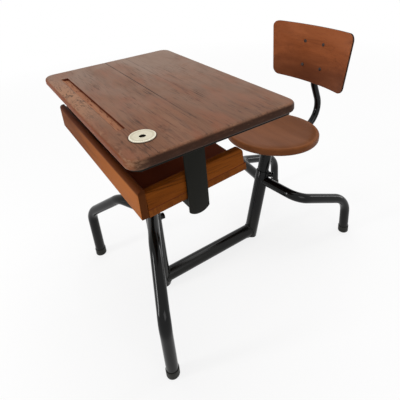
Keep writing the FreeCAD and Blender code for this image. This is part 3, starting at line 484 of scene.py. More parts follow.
def bent_line(corners: Array, bends: Sequence[float], step: float) -> Line:
    """Straight runs joined by tangent arcs.

    An arc of radius r at a corner P that turns by t starts r * tan(t / 2) before P.
    Its centre lies on the inner bisector, r / cos(t / 2) from P.

    Args:
        corners: Corner points.
        bends: Radius at each inner corner.
        step: Distance between stations.

    Returns:
        The line.
    """
    rows: list[tuple[Array, Array, Array, Array]] = []
    start = corners[0]
    for before, corner, after, radius in zip(corners, corners[1:], corners[2:], bends):
        arriving, leaving = unit(corner - before), unit(after - corner)
        turn = math.acos(float(arriving @ leaving))
        first = corner - arriving * radius * math.tan(turn / 2)
        rows.append(straight_rows(start, first, step))
        centre = corner + unit(leaving - arriving) * radius / math.cos(turn / 2)
        spoke = unit(first - centre)
        count = max(8, int(radius * turn / step * 2))
        swing = np.linspace(0, turn, count, endpoint=False)[:, None]
        outward = np.cos(swing) * spoke + np.sin(swing) * arriving
        tangent = np.cos(swing) * arriving - np.sin(swing) * spoke
        rows.append((centre + radius * outward, tangent, -outward, np.sin(math.pi * swing / turn)))
        start = corner + leaving * radius * math.tan(turn / 2)
    last = straight_rows(start, corners[-1], step)
    end = (corners[-1][None], last[1][-1:], last[2][-1:], last[3][-1:])
    rows.extend((last, end))
    return Line(*(np.concatenate(part) for part in zip(*rows)))


def straight_rows(start: Array, end: Array, step: float) -> tuple[Array, Array, Array, Array]:
    """Stations of a straight run without its end.

    Args:
        start: First point.
        end: Last point, left out.
        step: Distance between stations.

    Returns:
        Centres, tangents, inward directions and bend shares, the last two of zeros.
    """
    run = end - start
    count = max(2, int(np.linalg.norm(run) / step))
    share = np.linspace(0, 1, count, endpoint=False)[:, None]
    centres = start + run * share
    return centres, np.tile(unit(run), (count, 1)), np.zeros_like(centres), np.zeros((count, 1))


def tube_skin(line: Line, radius: float, across: Array, around: int, flatten: float) -> Array:
    """Carry a circle along a line, slightly flattened in the bends.

    With the unit offset o of a point from the centre and the inward direction i of
    the bend, the offset becomes o * (1 + 0.4 k) - 1.4 k (o . i) i, where k is the
    flattening times the station's share of the bend.

    Args:
        line: The tube's centre line.
        radius: Radius of the tube.
        across: A direction that no tangent runs along.
        around: Points of each ring.
        flatten: Largest flattening, as a share of the radius.

    Returns:
        Array of stations, ring points and coordinates.
    """
    tangents = line.tangents
    normals = unit(across - np.sum(across * tangents, 1, keepdims=True) * tangents)
    sides = np.cross(tangents, normals)
    angles = circle(around)[None, :, None]
    offset = np.cos(angles) * normals[:, None] + np.sin(angles) * sides[:, None]
    amount = (flatten * line.share)[:, None]
    inward = line.inward[:, None]
    inner = np.sum(offset * inward, -1, keepdims=True) * inward
    shaped = offset * (1 + 0.4 * amount) - 1.4 * amount * inner
    return line.centres[:, None] + radius * shaped


@dataclass(frozen=True)
class Cylinder:
    """A round post that branches meet."""

    origin: Array
    axis: Array
    radius: float

    def leaving(self, points: Array, direction: Array, sunk: float = 0.0) -> Array:
        """Distance along a direction at which points leave the post.

        With parts p and d of the point and direction square to the axis, the distance
        s solves |p + s d| = radius - sunk, taking the larger root.

        Args:
            points: Array of points.
            direction: Unit direction of travel.
            sunk: How far under the post's surface they stop.

        Returns:
            One distance for each point.
        """
        part = points - self.origin
        part = part - (part @ self.axis)[..., None] * self.axis
        square = direction - (direction @ self.axis) * self.axis
        middle, length = part @ square, float(square @ square)
        beyond = np.sum(part ** 2, -1) - (self.radius - sunk) ** 2
        return (-middle + np.sqrt(np.clip(middle ** 2 - length * beyond, 0, None))) / length


def coped_start(skin: Array, direction: Array, post: Cylinder, sunk: float) -> Array:
    """Slide the points of a tube's first ring along the tube to a post's surface.

    Args:
        skin: Array of stations, ring points and coordinates.
        direction: Unit direction of the tube's first run.
        post: The post that the tube is coped to.
        sunk: How far the ring lies under the post's surface.

    Returns:
        The changed array.
    """
    reach = post.leaving(skin[0], direction, sunk)
    edge = skin[0] + reach[:, None] * direction
    travelled = (skin - skin[0]) @ direction
    keep = travelled.max(1) > reach.max() + sunk
    return np.concatenate((edge[None], skin[keep]))


def weld_bead(branch_origin: Array, direction: Array, branch_radius: float, post: Cylinder,
              width: float, ripple: float = 0.003, around: int = 180) -> Shell:
    """A bead of weld where a round branch meets a round post.

    The seam is where each straight line of the branch leaves the post. A small circle
    is carried along it, and its radius swells and shrinks once per ripple.

    Args:
        branch_origin: Where the branch's axis meets the post's axis.
        direction: Unit direction of the branch.
        branch_radius: Radius of the branch.
        post: The post.
        width: Radius of the bead.
        ripple: Length of one ripple along the seam.
        around: Stations along the seam.

    Returns:
        The closed shell.
    """
    outward = hoop(1.0, 0.0, around) @ basis(direction)
    starts = branch_origin + branch_radius * outward
    reach = post.leaving(starts, direction)
    seam = starts + reach[:, None] * direction
    spoke = seam - post.origin
    spoke = unit(spoke - (spoke @ post.axis)[:, None] * post.axis)
    return bead_along(seam, unit(spoke + outward), width, ripple)


def bead_along(seam: Array, outward: Array, width: float, ripple: float) -> Shell:
    """Carry a small rippled circle along a closed seam.

    Args:
        seam: Points of the seam in order.
        outward: Unit direction away from the metal at each point.
        width: Radius of the bead.
        ripple: Length of one ripple.

    Returns:
        The closed shell.
    """
    ahead = np.roll(seam, -1, 0) - np.roll(seam, 1, 0)
    tangent = unit(ahead)
    normal = unit(outward - np.sum(outward * tangent, 1, keepdims=True) * tangent)
    side = np.cross(tangent, normal)
    steps = np.linalg.norm(np.roll(seam, -1, 0) - seam, axis=1)
    travelled = np.concatenate(((0.0,), np.cumsum(steps)[:-1]))
    count = max(1, round(steps.sum() / ripple))
    swell = 1 + 0.14 * np.cos(TURN * count * travelled / steps.sum())
    angles = circle(10)[None, :, None]
    ring = np.cos(angles) * normal[:, None] + np.sin(angles) * side[:, None]
    points = seam[:, None] + (width * swell)[:, None, None] * ring
    return Shell().grid(points, round_rows=True, round_columns=True)


# ------------------------------------------------------------------ finishes

class Tree:
    """Adds and wires the nodes of one tree."""

    def __init__(self, tree: bpy.types.NodeTree) -> None:
        """Keep the tree."""
        self.tree = tree

    def wire(self, source: object, target: Socket) -> None:
        """Link a socket, or set a plain value."""
        if isinstance(source, Socket):
            self.tree.links.new(source, target)
        elif isinstance(source, tuple) and target.type == "RGBA":
            target.default_value = (*source, 1.0)
        else:
            target.default_value = source

    def node(self, kind: str, *sources: object, **named: object) -> bpy.types.Node:
        """Add a shader node and wire its inputs.

        Args:
            kind: The node's type without its common first words.
            sources: Sockets or values of the first inputs.
            named: Sockets or values of inputs by name, underscores for spaces.

        Returns:
            The node.
        """
        node = self.tree.nodes.new(f"ShaderNode{kind}")
        for source, target in zip(sources, node.inputs):
            self.wire(source, target)
        for name, source in named.items():
            self.wire(source, node.inputs[name.replace("_", " ")])
        return node

    def maths(self, kind: str, first: object, second: object = 0.0) -> Socket:
        """One operation on two values."""
        node = self.node("Math", first, second)
        node.operation = kind
        return node.outputs["Value"]

    def times(self, *values: object) -> Socket:
        """Product of several values."""
        return reduce(partial(self.maths, "MULTIPLY"), values)

    def largest(self, *values: object) -> Socket:
        """Largest of several values."""
        return reduce(partial(self.maths, "MAXIMUM"), values)


class Nodes(Tree):
    """Builds the node tree of one material, whose tone is laid on coat by coat."""

    def __init__(self, name: str) -> None:
        """Start a material with its principled shader.

        Args:
            name: Name of the material.
        """
        self.material = bpy.data.materials.new(name)
        self.material.use_nodes = True
        super().__init__(self.material.node_tree)
        self.shader = self.tree.nodes["Principled BSDF"]
        self.place = self.node("TexCoord").outputs["Object"]
        self.tone: object = None

    @cached_property
    def axes(self) -> tuple[Socket, ...]:
        """The three object coordinates as separate values."""
        return tuple(self.node("SeparateXYZ", self.place).outputs)

    @cached_property
    def normal(self) -> tuple[Socket, ...]:
        """The three parts of the surface normal."""
        return tuple(self.node("SeparateXYZ", self.node("NewGeometry").outputs["Normal"]).outputs)

    def noise(self, scale: Triple, detail: float = 3.0, rough: float = 0.55, twist: float = 0.0,
              shift: Triple = (0.0, 0.0, 0.0)) -> Socket:
        """Fractal noise on object coordinates.

        Args:
            scale: Cells per metre along each axis.
            detail: Number of octaves.
            rough: Weight of the finer octaves.
            twist: Distortion.
            shift: Move of the pattern, in cells.

        Returns:
            The value, 0 to 1.
        """
        where = self.node("Mapping", self.place, Scale=scale, Location=shift).outputs["Vector"]
        return self.node("TexNoise", where, Scale=1.0, Detail=detail, Roughness=rough,
                         Distortion=twist).outputs["Fac"]

    def window(self, value: Socket, start: float, end: float, low: float = 0.0,
               high: float = 1.0) -> Socket:
        """Smooth step of a value from start to end, between low and high."""
        node = self.node("MapRange", value, start, end, low, high)
        node.interpolation_type = "SMOOTHSTEP"
        return node.outputs["Result"]

    def fade(self, value: Socket, start: float, end: float) -> Socket:
        """Smooth step down from one at start to zero at end."""
        return self.window(value, start, end, 1.0, 0.0)

    def mix(self, share: object, first: object, second: object) -> Socket:
        """Blend of two colours.

        Args:
            share: Share of the second colour.
            first: A colour or a socket.
            second: The same.

        Returns:
            The blended colour.
        """
        node = self.node("Mix", share)
        node.data_type = "RGBA"
        self.wire(first, node.inputs[6])
        self.wire(second, node.inputs[7])
        return node.outputs[2]

    def lay(self, colour: object, *shares: object) -> None:
        """Lay a colour over the tone so far, by the product of some shares."""
        self.tone = self.mix(self.times(*shares), self.tone, colour)

    def band(self, value: Socket, middle: float, half: float, soft: float) -> Socket:
        """One within half of the middle, falling to zero over soft."""
        away = self.maths("ABSOLUTE", self.maths("SUBTRACT", value, middle))
        return self.fade(away, half, half + soft)

    def away(self, x: float, y: float) -> Socket:
        """Level distance from the upright line at x and y: the root of the squares' sum."""
        parts = [self.maths("SUBTRACT", axis, middle) for axis, middle in zip(self.axes, (x, y))]
        return self.maths("SQRT", self.maths("ADD", *(self.times(part, part) for part in parts)))

    def bump(self, height: Socket, depth: float, strength: float = 1.0) -> None:
        """Raise the shader's surface by a height of some depth in metres."""
        node = self.node("Bump", Strength=strength, Distance=depth, Height=height)
        self.wire(node.outputs["Normal"], self.shader.inputs["Normal"])

    def set(self, **values: object) -> None:
        """Set inputs of the shader, whose names are written with underscores."""
        for name, value in values.items():
            self.wire(value, self.shader.inputs[name.replace("_", " ")])


@dataclass(frozen=True)
class Recipe:
    """A finish that becomes one material."""

    name: str

    def apply(self, nodes: Nodes) -> None:
        """Lay the finish on a material's nodes.

        Args:
            nodes: The material's nodes, which change.
        """

    def material(self) -> bpy.types.Material:
        """Build the material, named after the finish.

        Returns:
            The material.
        """
        nodes = Nodes(self.name)
        self.apply(nodes)
        nodes.set(Base_Color=nodes.tone)
        return nodes.material


@dataclass(frozen=True)
class Wood(Recipe):
    """Stained and worn wood: broad tone, growth bands, fine dark pores."""

    pale: Colour
    main: Colour
    dark: Colour
    pore: Colour
    grain: Grain = Grain.ALONG_X
    bands: float = 55.0
    stretch: float = 14.0
    band_share: float = 0.6
    pores: float = 420.0
    pore_share: float = 0.55
    dashes: float = 230.0
    dash_share: float = 0.5
    rough_low: float = 0.36
    rough_high: float = 0.52
    seed: float = 0.0
    specular: float = 0.4

    def grained(self, nodes: Nodes, across: float, along: float, *noise: float) -> Socket:
        """Noise that is drawn out along the grain."""
        scale = (along, across, across) if self.grain is Grain.ALONG_X else (across, along, across)
        return nodes.noise(scale, *noise, shift=(self.seed, self.seed * 0.7, self.seed * 0.3))

    def apply(self, nodes: Nodes) -> None:
        """Lay the finish on a material's nodes.

        Args:
            nodes: The material's nodes, which change.
        """
        broad = self.grained(nodes, 7.0, 2.2, 3.0, 0.6, 0.6)
        bands = self.grained(nodes, self.bands, self.bands / self.stretch, 4.0, 0.6, 0.35)
        pores = self.grained(nodes, self.pores, self.pores / 30, 2.0, 0.5)
        dashes = self.grained(nodes, self.dashes, self.dashes / 16, 3.0, 0.65, 0.25)
        nodes.tone = nodes.mix(nodes.window(broad, 0.3, 0.7), self.pale, self.main)
        nodes.lay(self.dark, nodes.window(bands, 0.42, 0.72, 0.0, self.band_share))
        nodes.lay(self.pore, nodes.window(pores, 0.52, 0.68), nodes.window(bands, 0.35, 0.6),
                  self.pore_share)
        strength = nodes.window(broad, 0.35, 0.6, 0.35 * self.dash_share, self.dash_share)
        nodes.lay(self.pore, nodes.window(dashes, 0.57, 0.66), strength)
        self.marks(nodes, broad, bands)
        relief = nodes.maths("ADD", nodes.times(pores, -0.5), nodes.times(bands, 0.5))
        nodes.bump(relief, 0.35 * MM, 0.5)
        nodes.set(Roughness=nodes.window(broad, 0.25, 0.75, self.rough_low, self.rough_high),
                  Specular_IOR_Level=self.specular)

    def marks(self, nodes: Nodes, broad: Socket, bands: Socket) -> None:
        """Marks of use that one kind of board has; plain wood has none."""


@dataclass(frozen=True)
class TopWood(Wood):
    """The writing top: painted grey sheen, dark glue joints, a bare front edge and groove."""

    # Grey of the painted sheen.
    painted_sheen: Colour = srgb(134, 112, 98)
    ruddy: Colour = srgb(127, 72, 47)
    bare: Colour = srgb(154, 113, 86)
    groove_floor: Colour = srgb(162, 112, 82)
    # Dark red-brown of the groove's flecks and of the painted shade on its walls.
    groove_fleck_and_shade: Colour = srgb(92, 42, 26)
    edge: Colour = srgb(50, 31, 22)
    front_edge: Colour = srgb(112, 56, 24)
    # Pale of the worn arris, also used for the near corner's painted highlight.
    arris: Colour = srgb(152, 114, 88)
    joint: Colour = srgb(38, 22, 16)

    def marks(self, nodes: Nodes, broad: Socket, bands: Socket) -> None:
        """Lay painted sheen, bare wood, the groove with painted shade on its walls, edges, joints and a
        painted shadow round the inkwell over the plain grain.

        Args:
            nodes: The material's nodes, which change.
            broad: Slow noise over the board; not used.
            bands: The bands of the grain.
        """
        low, high = extent("top_board_front", "top_board_rear")
        self._patches_and_sheen(nodes)
        self._streaks(nodes, high[0])
        self._margin(nodes, low[1])
        self._groove(nodes, bands, low[1], high[2])
        self._edges(nodes, low, high)
        self._joints(nodes)
        self._well_shadow_and_smudges(nodes)

    def _patches_and_sheen(self, nodes: Nodes) -> None:
        """Ruddy patches, and a painted grey sheen that grows towards the far rear corner.

        Args:
            nodes: The material's nodes, which change.
        """
        x, y, _ = nodes.axes
        patches = nodes.noise((7.0, 22.0, 7.0), 4.0, 0.62, 0.5, (4.1, 2.3, 0))
        nodes.lay(self.ruddy, nodes.window(patches, 0.42, 0.68, 0.0, 0.7))
        # Painted sheen: a grey reflection that grows towards the far rear corner.
        cloud = nodes.noise((5.0, 9.0, 5.0), 4.0, 0.6, 0.4, (1.7, 0.4, 0))
        slope = nodes.maths("SUBTRACT", nodes.times(y, 0.7), nodes.times(x, 0.85))
        nodes.lay(self.painted_sheen, nodes.window(cloud, 0.3, 0.62, 0.35, 1.0),
                  nodes.window(slope, -0.56, 0.20, 0.14, 0.95))

    def _streaks(self, nodes: Nodes, end: float) -> None:
        """Dark lines along the grain, gathered in patches and gone at the ends.

        Args:
            nodes: The material's nodes, which change.
            end: X of the top's end.
        """
        lines = nodes.noise((16.0, 330.0, 16.0), 3.0, 0.6, 0.0, (0.9, 6.1, 0))
        gather = nodes.noise((6.0, 14.0, 6.0), 3.0, 0.6, 0.4, (2.7, 0.8, 0))
        inward = nodes.fade(nodes.maths("ABSOLUTE", nodes.axes[0]), end - 45 * MM, end - 12 * MM)
        nodes.lay(self.joint, nodes.window(lines, 0.53, 0.66), inward,
                  nodes.window(gather, 0.42, 0.60, 0.1, 0.52))

    def _margin(self, nodes: Nodes, front: float) -> None:
        """Rough pale wood in front of the groove, with squiggly cracks and stains.

        Args:
            nodes: The material's nodes, which change.
            front: Y of the top's front edge.
        """
        x, y, _ = nodes.axes
        scuff = nodes.noise((18.0, 55.0, 55.0), 4.0, 0.65)
        margin = nodes.fade(y, front + 34 * MM, front + 48 * MM)
        patch = nodes.times(nodes.window(x, -0.05, 0.16, 1.0, 0.12),
                            nodes.window(x, -0.33, -0.12, 0.1, 1.0))
        nodes.lay(self.bare, margin, patch, nodes.window(scuff, 0.3, 0.55, 0.3, 0.9))
        crack = nodes.noise((22.0, 60.0, 60.0), 2.0, 0.5, 2.0, (0.6, 1.2, 0))
        nodes.lay(self.pore, nodes.band(crack, 0.5, 0.012, 0.02), margin, patch, 0.7)
        stain = nodes.noise((24.0, 40.0, 40.0), 3.0, 0.6, 0.0, (7.7, 0.9, 0))
        nodes.lay(self.dark, nodes.window(stain, 0.58, 0.70), margin, 0.5)

    def _groove(self, nodes: Nodes, bands: Socket, edge: float, crown: float) -> None:
        """The groove's pale worn floor, painted shade on its rear and far end walls, and the line of its
        front.

        Args:
            nodes: The material's nodes, which change.
            bands: The bands of the grain.
            edge: Y of the top's front edge.
            crown: Z of the top's face.
        """
        x, y, z = nodes.axes
        groove = Groove()
        front, gap, soft = edge + groove.inset, 0.3 * MM, 0.4 * MM
        along = nodes.band(x, groove.middle, groove.length / 2 + gap, soft)
        across = nodes.band(y, front + groove.width / 2, groove.width / 2 + gap, soft)
        inside = nodes.times(along, across, nodes.fade(z, crown - 1.3 * MM, crown - 0.5 * MM))
        fleck = nodes.noise((40.0, 160.0, 160.0), 4.0, 0.65, 0.0, (2.0, 0, 0))
        floor = nodes.mix(nodes.window(bands, 0.4, 0.7, 0.0, 0.5), self.groove_floor, self.ruddy)
        floor = nodes.mix(nodes.window(fleck, 0.51, 0.64, 0.0, 0.8), floor, self.groove_fleck_and_shade)
        nodes.lay(floor, inside)
        # Painted shade on the groove's walls that face the front and the far end.
        wall = nodes.largest(nodes.fade(nodes.normal[1], -0.75, -0.45),
                             nodes.window(nodes.normal[0], 0.4, 0.7))
        nodes.lay(self.groove_fleck_and_shade, inside, wall)
        nodes.lay(self.pore, nodes.band(y, front, 0.2 * MM, 0.9 * MM), along,
                  nodes.window(fleck, 0.42, 0.56, 0.2, 0.8))

    def _edges(self, nodes: Nodes, low: Array, high: Array) -> None:
        """Dark ends, a red-brown front edge, a worn, chipped arris and a near corner paler partly from
        wear and partly as a painted highlight.

        Args:
            nodes: The material's nodes, which change.
            low: Lowest corner of the top.
            high: Highest corner of the top.
        """
        x, y, z = nodes.axes
        near, far = 9 * MM, 11 * MM
        flat = nodes.fade(nodes.normal[2], 0.35, 0.93)
        ends = nodes.window(nodes.maths("ABSOLUTE", x), high[0] - far, high[0] - near)
        outside = nodes.largest(ends, nodes.fade(y, low[1] + near, low[1] + far),
                                nodes.window(y, high[1] - far, high[1] - near))
        streak = nodes.noise((60.0, 60.0, 260.0), 3.0, 0.6, 0.0, (0, 3.0, 0))
        ahead = nodes.fade(nodes.normal[1], -0.85, -0.35)
        colour = nodes.mix(ahead, self.edge, self.front_edge)
        colour = nodes.mix(nodes.window(streak, 0.5, 0.7, 0.0, 0.4), colour, self.dark)
        nodes.lay(colour, flat, outside, 0.95)
        chips = nodes.noise((45.0, 45.0, 150.0), 4.0, 0.7, 0.0, (5.5, 0, 1.0))
        height = nodes.band(z, high[2] - 1.6 * MM, 0.8 * MM, 1.4 * MM)
        nodes.lay(self.arris, outside, height, nodes.window(chips, 0.50, 0.66, 0.0, 0.45))
        # Near corner: paler partly from wear and partly as a painted highlight.
        near, far = 14 * MM, 50 * MM
        nodes.lay(self.arris, nodes.window(x, high[0] - far, high[0] - near),
                  nodes.fade(y, low[1] + near, low[1] + far), outside,
                  nodes.fade(nodes.normal[2], 0.75, 0.98), nodes.window(chips, 0.42, 0.62, 0.15, 0.7))
        nicks = nodes.noise((70.0, 70.0, 190.0), 3.0, 0.6, 0.0, (1.5, 9.0, 4.0))
        nodes.lay(self.arris, outside, flat, nodes.window(nicks, 0.66, 0.72, 0.0, 0.6))

    def _joints(self, nodes: Nodes) -> None:
        """Two glue joints that fade towards one end; the second is broken up."""
        breaks = nodes.noise((26.0, 3.0, 3.0), 2.0, 0.6, 0.0, (8.0, 0, 0))
        fade = nodes.window(nodes.axes[0], 0.02, 0.28, 1.0, 0.05)
        for corner, share in zip(extent("top_board_middle"), (0.95, 0.4)):
            line = nodes.band(nodes.axes[1], corner[1], 0.9 * MM, 0.8 * MM)
            solid = nodes.window(breaks, 0.3, 0.5, share * share * 0.7, share)
            nodes.lay(self.joint, line, fade, solid)

    def _well_shadow_and_smudges(self, nodes: Nodes) -> None:
        """A painted contact shadow round the inkwell's flange, and old inky smudges near it.

        Args:
            nodes: The material's nodes, which change.
        """
        x, y, rim, _ = well()
        away = nodes.away(x, y)
        # Painted shadow: a dark ring where the flange meets the top.
        nodes.lay(self.joint, nodes.band(away, rim, 1.0 * MM, 2.2 * MM), 0.7)
        smudge = nodes.noise((26.0, 60.0, 26.0), 4.0, 0.65, 0.0, (3.3, 1.9, 0))
        nodes.lay(self.edge, nodes.fade(away, rim, 0.105), nodes.window(smudge, 0.54, 0.68, 0.0, 0.55))


@dataclass(frozen=True)
class TrayWood(Wood):
    """The tray: warm outside, painted shade inside, a front board painted lighter at its near end and
    darker at its far end, darker crest and ends.
    """

    # Dark of the painted shade inside the tray; the seam's dark line uses it too.
    inside: Colour = srgb(98, 45, 26)
    crest: Colour = srgb(66, 28, 12)
    ends: Colour = srgb(66, 32, 12)
    # Pale of the painted light on the front board's near end.
    painted_near_light: Colour = srgb(164, 98, 50)
    knot: Colour = srgb(66, 32, 18)
    seam: float = 0.0195
    half_width: float = 0.284

    def marks(self, nodes: Nodes, broad: Socket, bands: Socket) -> None:
        """Paint shade inside, paint light on the near end of the front board and shade on its far end,
        darken crest and ends.

        Args:
            nodes: The material's nodes, which change.
            broad: Slow noise over the board.
            bands: The bands of the grain; not used.
        """
        _, (_, rear, crown) = extent("tray_front_board")
        x, y, z = nodes.axes
        turn_x, turn_y, turn_z = nodes.normal
        at_front = nodes.fade(y, rear - 1 * MM, rear + 1 * MM)
        # Painted light on the front board's near end, and painted shade on its far end.
        nodes.lay(self.painted_near_light, at_front, nodes.window(x, -0.12, 0.30, 0.0, 0.85),
                  nodes.window(broad, 0.3, 0.6, 0.6, 1.0))
        nodes.lay(self.dark, at_front, nodes.window(x, -0.30, 0.06, 0.75, 0.0))
        nodes.lay(self.crest, at_front, nodes.window(z, crown - 14 * MM, crown - 6 * MM), 0.85)
        ends = nodes.window(nodes.maths("ABSOLUTE", turn_x), 0.5, 0.9)
        nodes.lay(self.ends, at_front, ends, 0.9)
        self._seam(nodes, rear)
        knots = nodes.noise((9.0, 30.0, 30.0), 1.0, 0.4, 0.0, (0.3, 0, 0.8))
        nodes.lay(self.knot, nodes.window(knots, 0.72, 0.80, 0.0, 0.55))
        # Painted shade on the faces inside the tray: the front board's inner face, the end walls and the
        # floor.
        behind = nodes.window(y, rear - 3 * MM, rear + 1 * MM)
        walls = nodes.fade(nodes.times(turn_x, x), -0.18, -0.08)
        floor = nodes.times(nodes.window(turn_z, 0.8, 0.95), nodes.band(x, 0.0, self.half_width, 1 * MM))
        facing = nodes.largest(nodes.times(at_front, nodes.window(turn_y, 0.4, 0.8)),
                               nodes.times(behind, nodes.largest(walls, floor)))
        nodes.lay(self.inside, facing, 0.55)

    def _seam(self, nodes: Nodes, rear: float) -> None:
        """Dirt in the seam over the bottom board, at a height above the tray's plane.

        Args:
            nodes: The material's nodes, which change.
            rear: Y of the front board's rear face.
        """
        lean, origin = math.radians(LAYOUT.tray_tilt), LAYOUT.tray.origin
        level = self.seam - origin[1] * math.sin(lean) + origin[2] * math.cos(lean)
        height = nodes.maths("SUBTRACT", nodes.times(nodes.axes[2], math.cos(lean)),
                             nodes.times(nodes.axes[1], math.sin(lean)))
        nodes.lay(self.inside, nodes.band(height, level, 0.7 * MM, 0.8 * MM),
                  nodes.window(nodes.axes[1], rear - 1 * MM, rear + 1 * MM), 0.85)


@dataclass(frozen=True)
class BackWood(Wood):
    """Curved plywood: dark thin edge with its plies showing."""

    foot: Colour = srgb(84, 42, 22)
    ply_dark: Colour = srgb(38, 22, 15)
    ply_pale: Colour = srgb(62, 38, 26)

    def marks(self, nodes: Nodes, broad: Socket, bands: Socket) -> None:
        """Darken the foot, and stain the edge dark with paler plies.

        Args:
            nodes: The material's nodes, which change.
            broad: Slow noise over the board.
            bands: The bands of the grain; not used.
        """
        middle = LAYOUT.back.origin[2]
        height = nodes.window(nodes.axes[2], middle - 85 * MM, middle + 10 * MM, 0.85, 0.0)
        nodes.lay(self.foot, height, nodes.window(broad, 0.25, 0.65, 0.5, 1.0))
        edge, depth = nodes.node("Attribute"), nodes.node("Attribute")
        edge.attribute_name, depth.attribute_name = "ply_edge", "ply_depth"
        stripes = nodes.maths("SINE", nodes.times(depth.outputs["Fac"], TURN * 3.5))
        ply = nodes.mix(nodes.window(stripes, -0.2, 0.4), self.ply_dark, self.ply_pale)
        nodes.lay(ply, edge.outputs["Fac"])


@dataclass(frozen=True)
class SeatWood(Wood):
    """The seat: a paler worn rim and painted shade on its side and underside."""

    rim: Colour = srgb(134, 82, 48)
    reach: float = 0.1655

    def marks(self, nodes: Nodes, broad: Socket, bands: Socket) -> None:
        """Wear the crest of the rim, and paint shade on the faces that look sideways and down."""
        away = nodes.away(*LAYOUT.seat.origin[:2])
        nodes.lay(self.rim, nodes.band(away, self.reach - 8 * MM, 1.5 * MM, 6 * MM),
                  nodes.window(broad, 0.3, 0.6, 0.1, 0.6))
        # Painted shade: darker as the face turns from up to down.
        nodes.lay(self.dark, nodes.window(nodes.normal[2], -0.4, 0.45, 0.75, 0.0))


@dataclass(frozen=True)
class Paint(Recipe):
    """Enamel on steel, with faint orange peel and dusty patches."""

    colour: Colour
    dust: Colour
    rough_low: float
    rough_high: float
    specular: float
    peel: float
    low_dust: float = 0.3
    floor_dust: Colour = srgb(30, 28, 24)

    def apply(self, nodes: Nodes) -> None:
        """Lay the finish on a material's nodes.

        Args:
            nodes: The material's nodes, which change.
        """
        patches = nodes.noise((9.0, 9.0, 9.0), 4.0, 0.6, 0.3)
        nodes.tone = nodes.mix(nodes.window(patches, 0.4, 0.75, 0.0, 0.8), self.colour, self.dust)
        low = nodes.times(nodes.fade(nodes.axes[2], 0.02, 0.17),
                          nodes.window(patches, 0.3, 0.6, 0.5, 1.0))
        nodes.lay(self.floor_dust, low, self.low_dust)
        nodes.bump(nodes.noise((55.0, 55.0, 55.0), 2.0, 0.5), self.peel * MM, 0.35)
        rough = nodes.window(patches, 0.3, 0.75, self.rough_low, self.rough_high)
        rough = nodes.maths("ADD", rough, nodes.times(low, self.low_dust, 0.25))
        nodes.set(Roughness=rough, Specular_IOR_Level=self.specular)


@dataclass(frozen=True)
class Glaze(Recipe):
    """Glazed porcelain with faint old inky stains, a painted highlight round its rolled rim, a painted
    shadow in the hollow inside the rim and a darker mouth.
    """

    colour: Colour
    stain: Colour
    rim: Colour = srgb(236, 229, 208)
    ink: Colour = srgb(24, 19, 16)

    def apply(self, nodes: Nodes) -> None:
        """Lay the finish on a material's nodes.

        Args:
            nodes: The material's nodes, which change.
        """
        x, y, rim, crown = well()
        away = nodes.away(x, y)
        cloud = nodes.noise((60.0, 60.0, 60.0), 3.0, 0.6)
        nodes.tone = nodes.mix(nodes.window(cloud, 0.3, 0.8, 0.0, 0.35), self.colour, self.stain)
        # Painted shadow in the hollow just inside the rolled rim.
        hollow = nodes.band(away, rim - 5.5 * MM, 1.2 * MM, 2.4 * MM)
        nodes.lay(self.stain, hollow, 0.6)
        # Painted highlight on the rolled rim, all round.
        nodes.lay(self.rim, nodes.window(away, rim - 3.2 * MM, rim - 2.0 * MM, 0.0, 0.9))
        nodes.lay(self.rim, nodes.fade(away, 7.5 * MM, 11 * MM), nodes.window(cloud, 0.35, 0.7, 0.1, 0.5))
        # Darker inside the mouth, below the crown.
        down = nodes.fade(nodes.axes[2], crown - 2.6 * MM, crown - 1.5 * MM)
        nodes.lay(self.ink, down, nodes.fade(away, 8.0 * MM, 8.8 * MM))
        nodes.bump(nodes.noise((90.0, 90.0, 90.0), 1.0), 0.3 * MM, 0.2)
        nodes.set(Roughness=nodes.window(cloud, 0.3, 0.8, 0.12, 0.22), Specular_IOR_Level=0.3,
                  Coat_Weight=0.15, Coat_Roughness=0.08)


@dataclass(frozen=True)
class Metal(Recipe):
    """Bare or blackened steel of screws, with a brushed unevenness."""

    colour: Colour
    tarnish: Colour
    metallic: float
    rough: float

    def apply(self, nodes: Nodes) -> None:
        """Lay the finish on a material's nodes.

        Args:
            nodes: The material's nodes, which change.
        """
        cloud = nodes.noise((180.0, 180.0, 180.0), 4.0, 0.65)
        nodes.tone = nodes.mix(nodes.window(cloud, 0.35, 0.7), self.colour, self.tarnish)
        nodes.bump(cloud, 0.15 * MM, 0.3)
        nodes.set(Roughness=nodes.window(cloud, 0.3, 0.7, self.rough * 0.8, self.rough * 1.3),
                  Metallic=self.metallic)


TRAY_WOOD = dict(bands=38.0, rough_low=0.5, rough_high=0.65, specular=0.02, band_share=0.5,
                 dash_share=0.35)


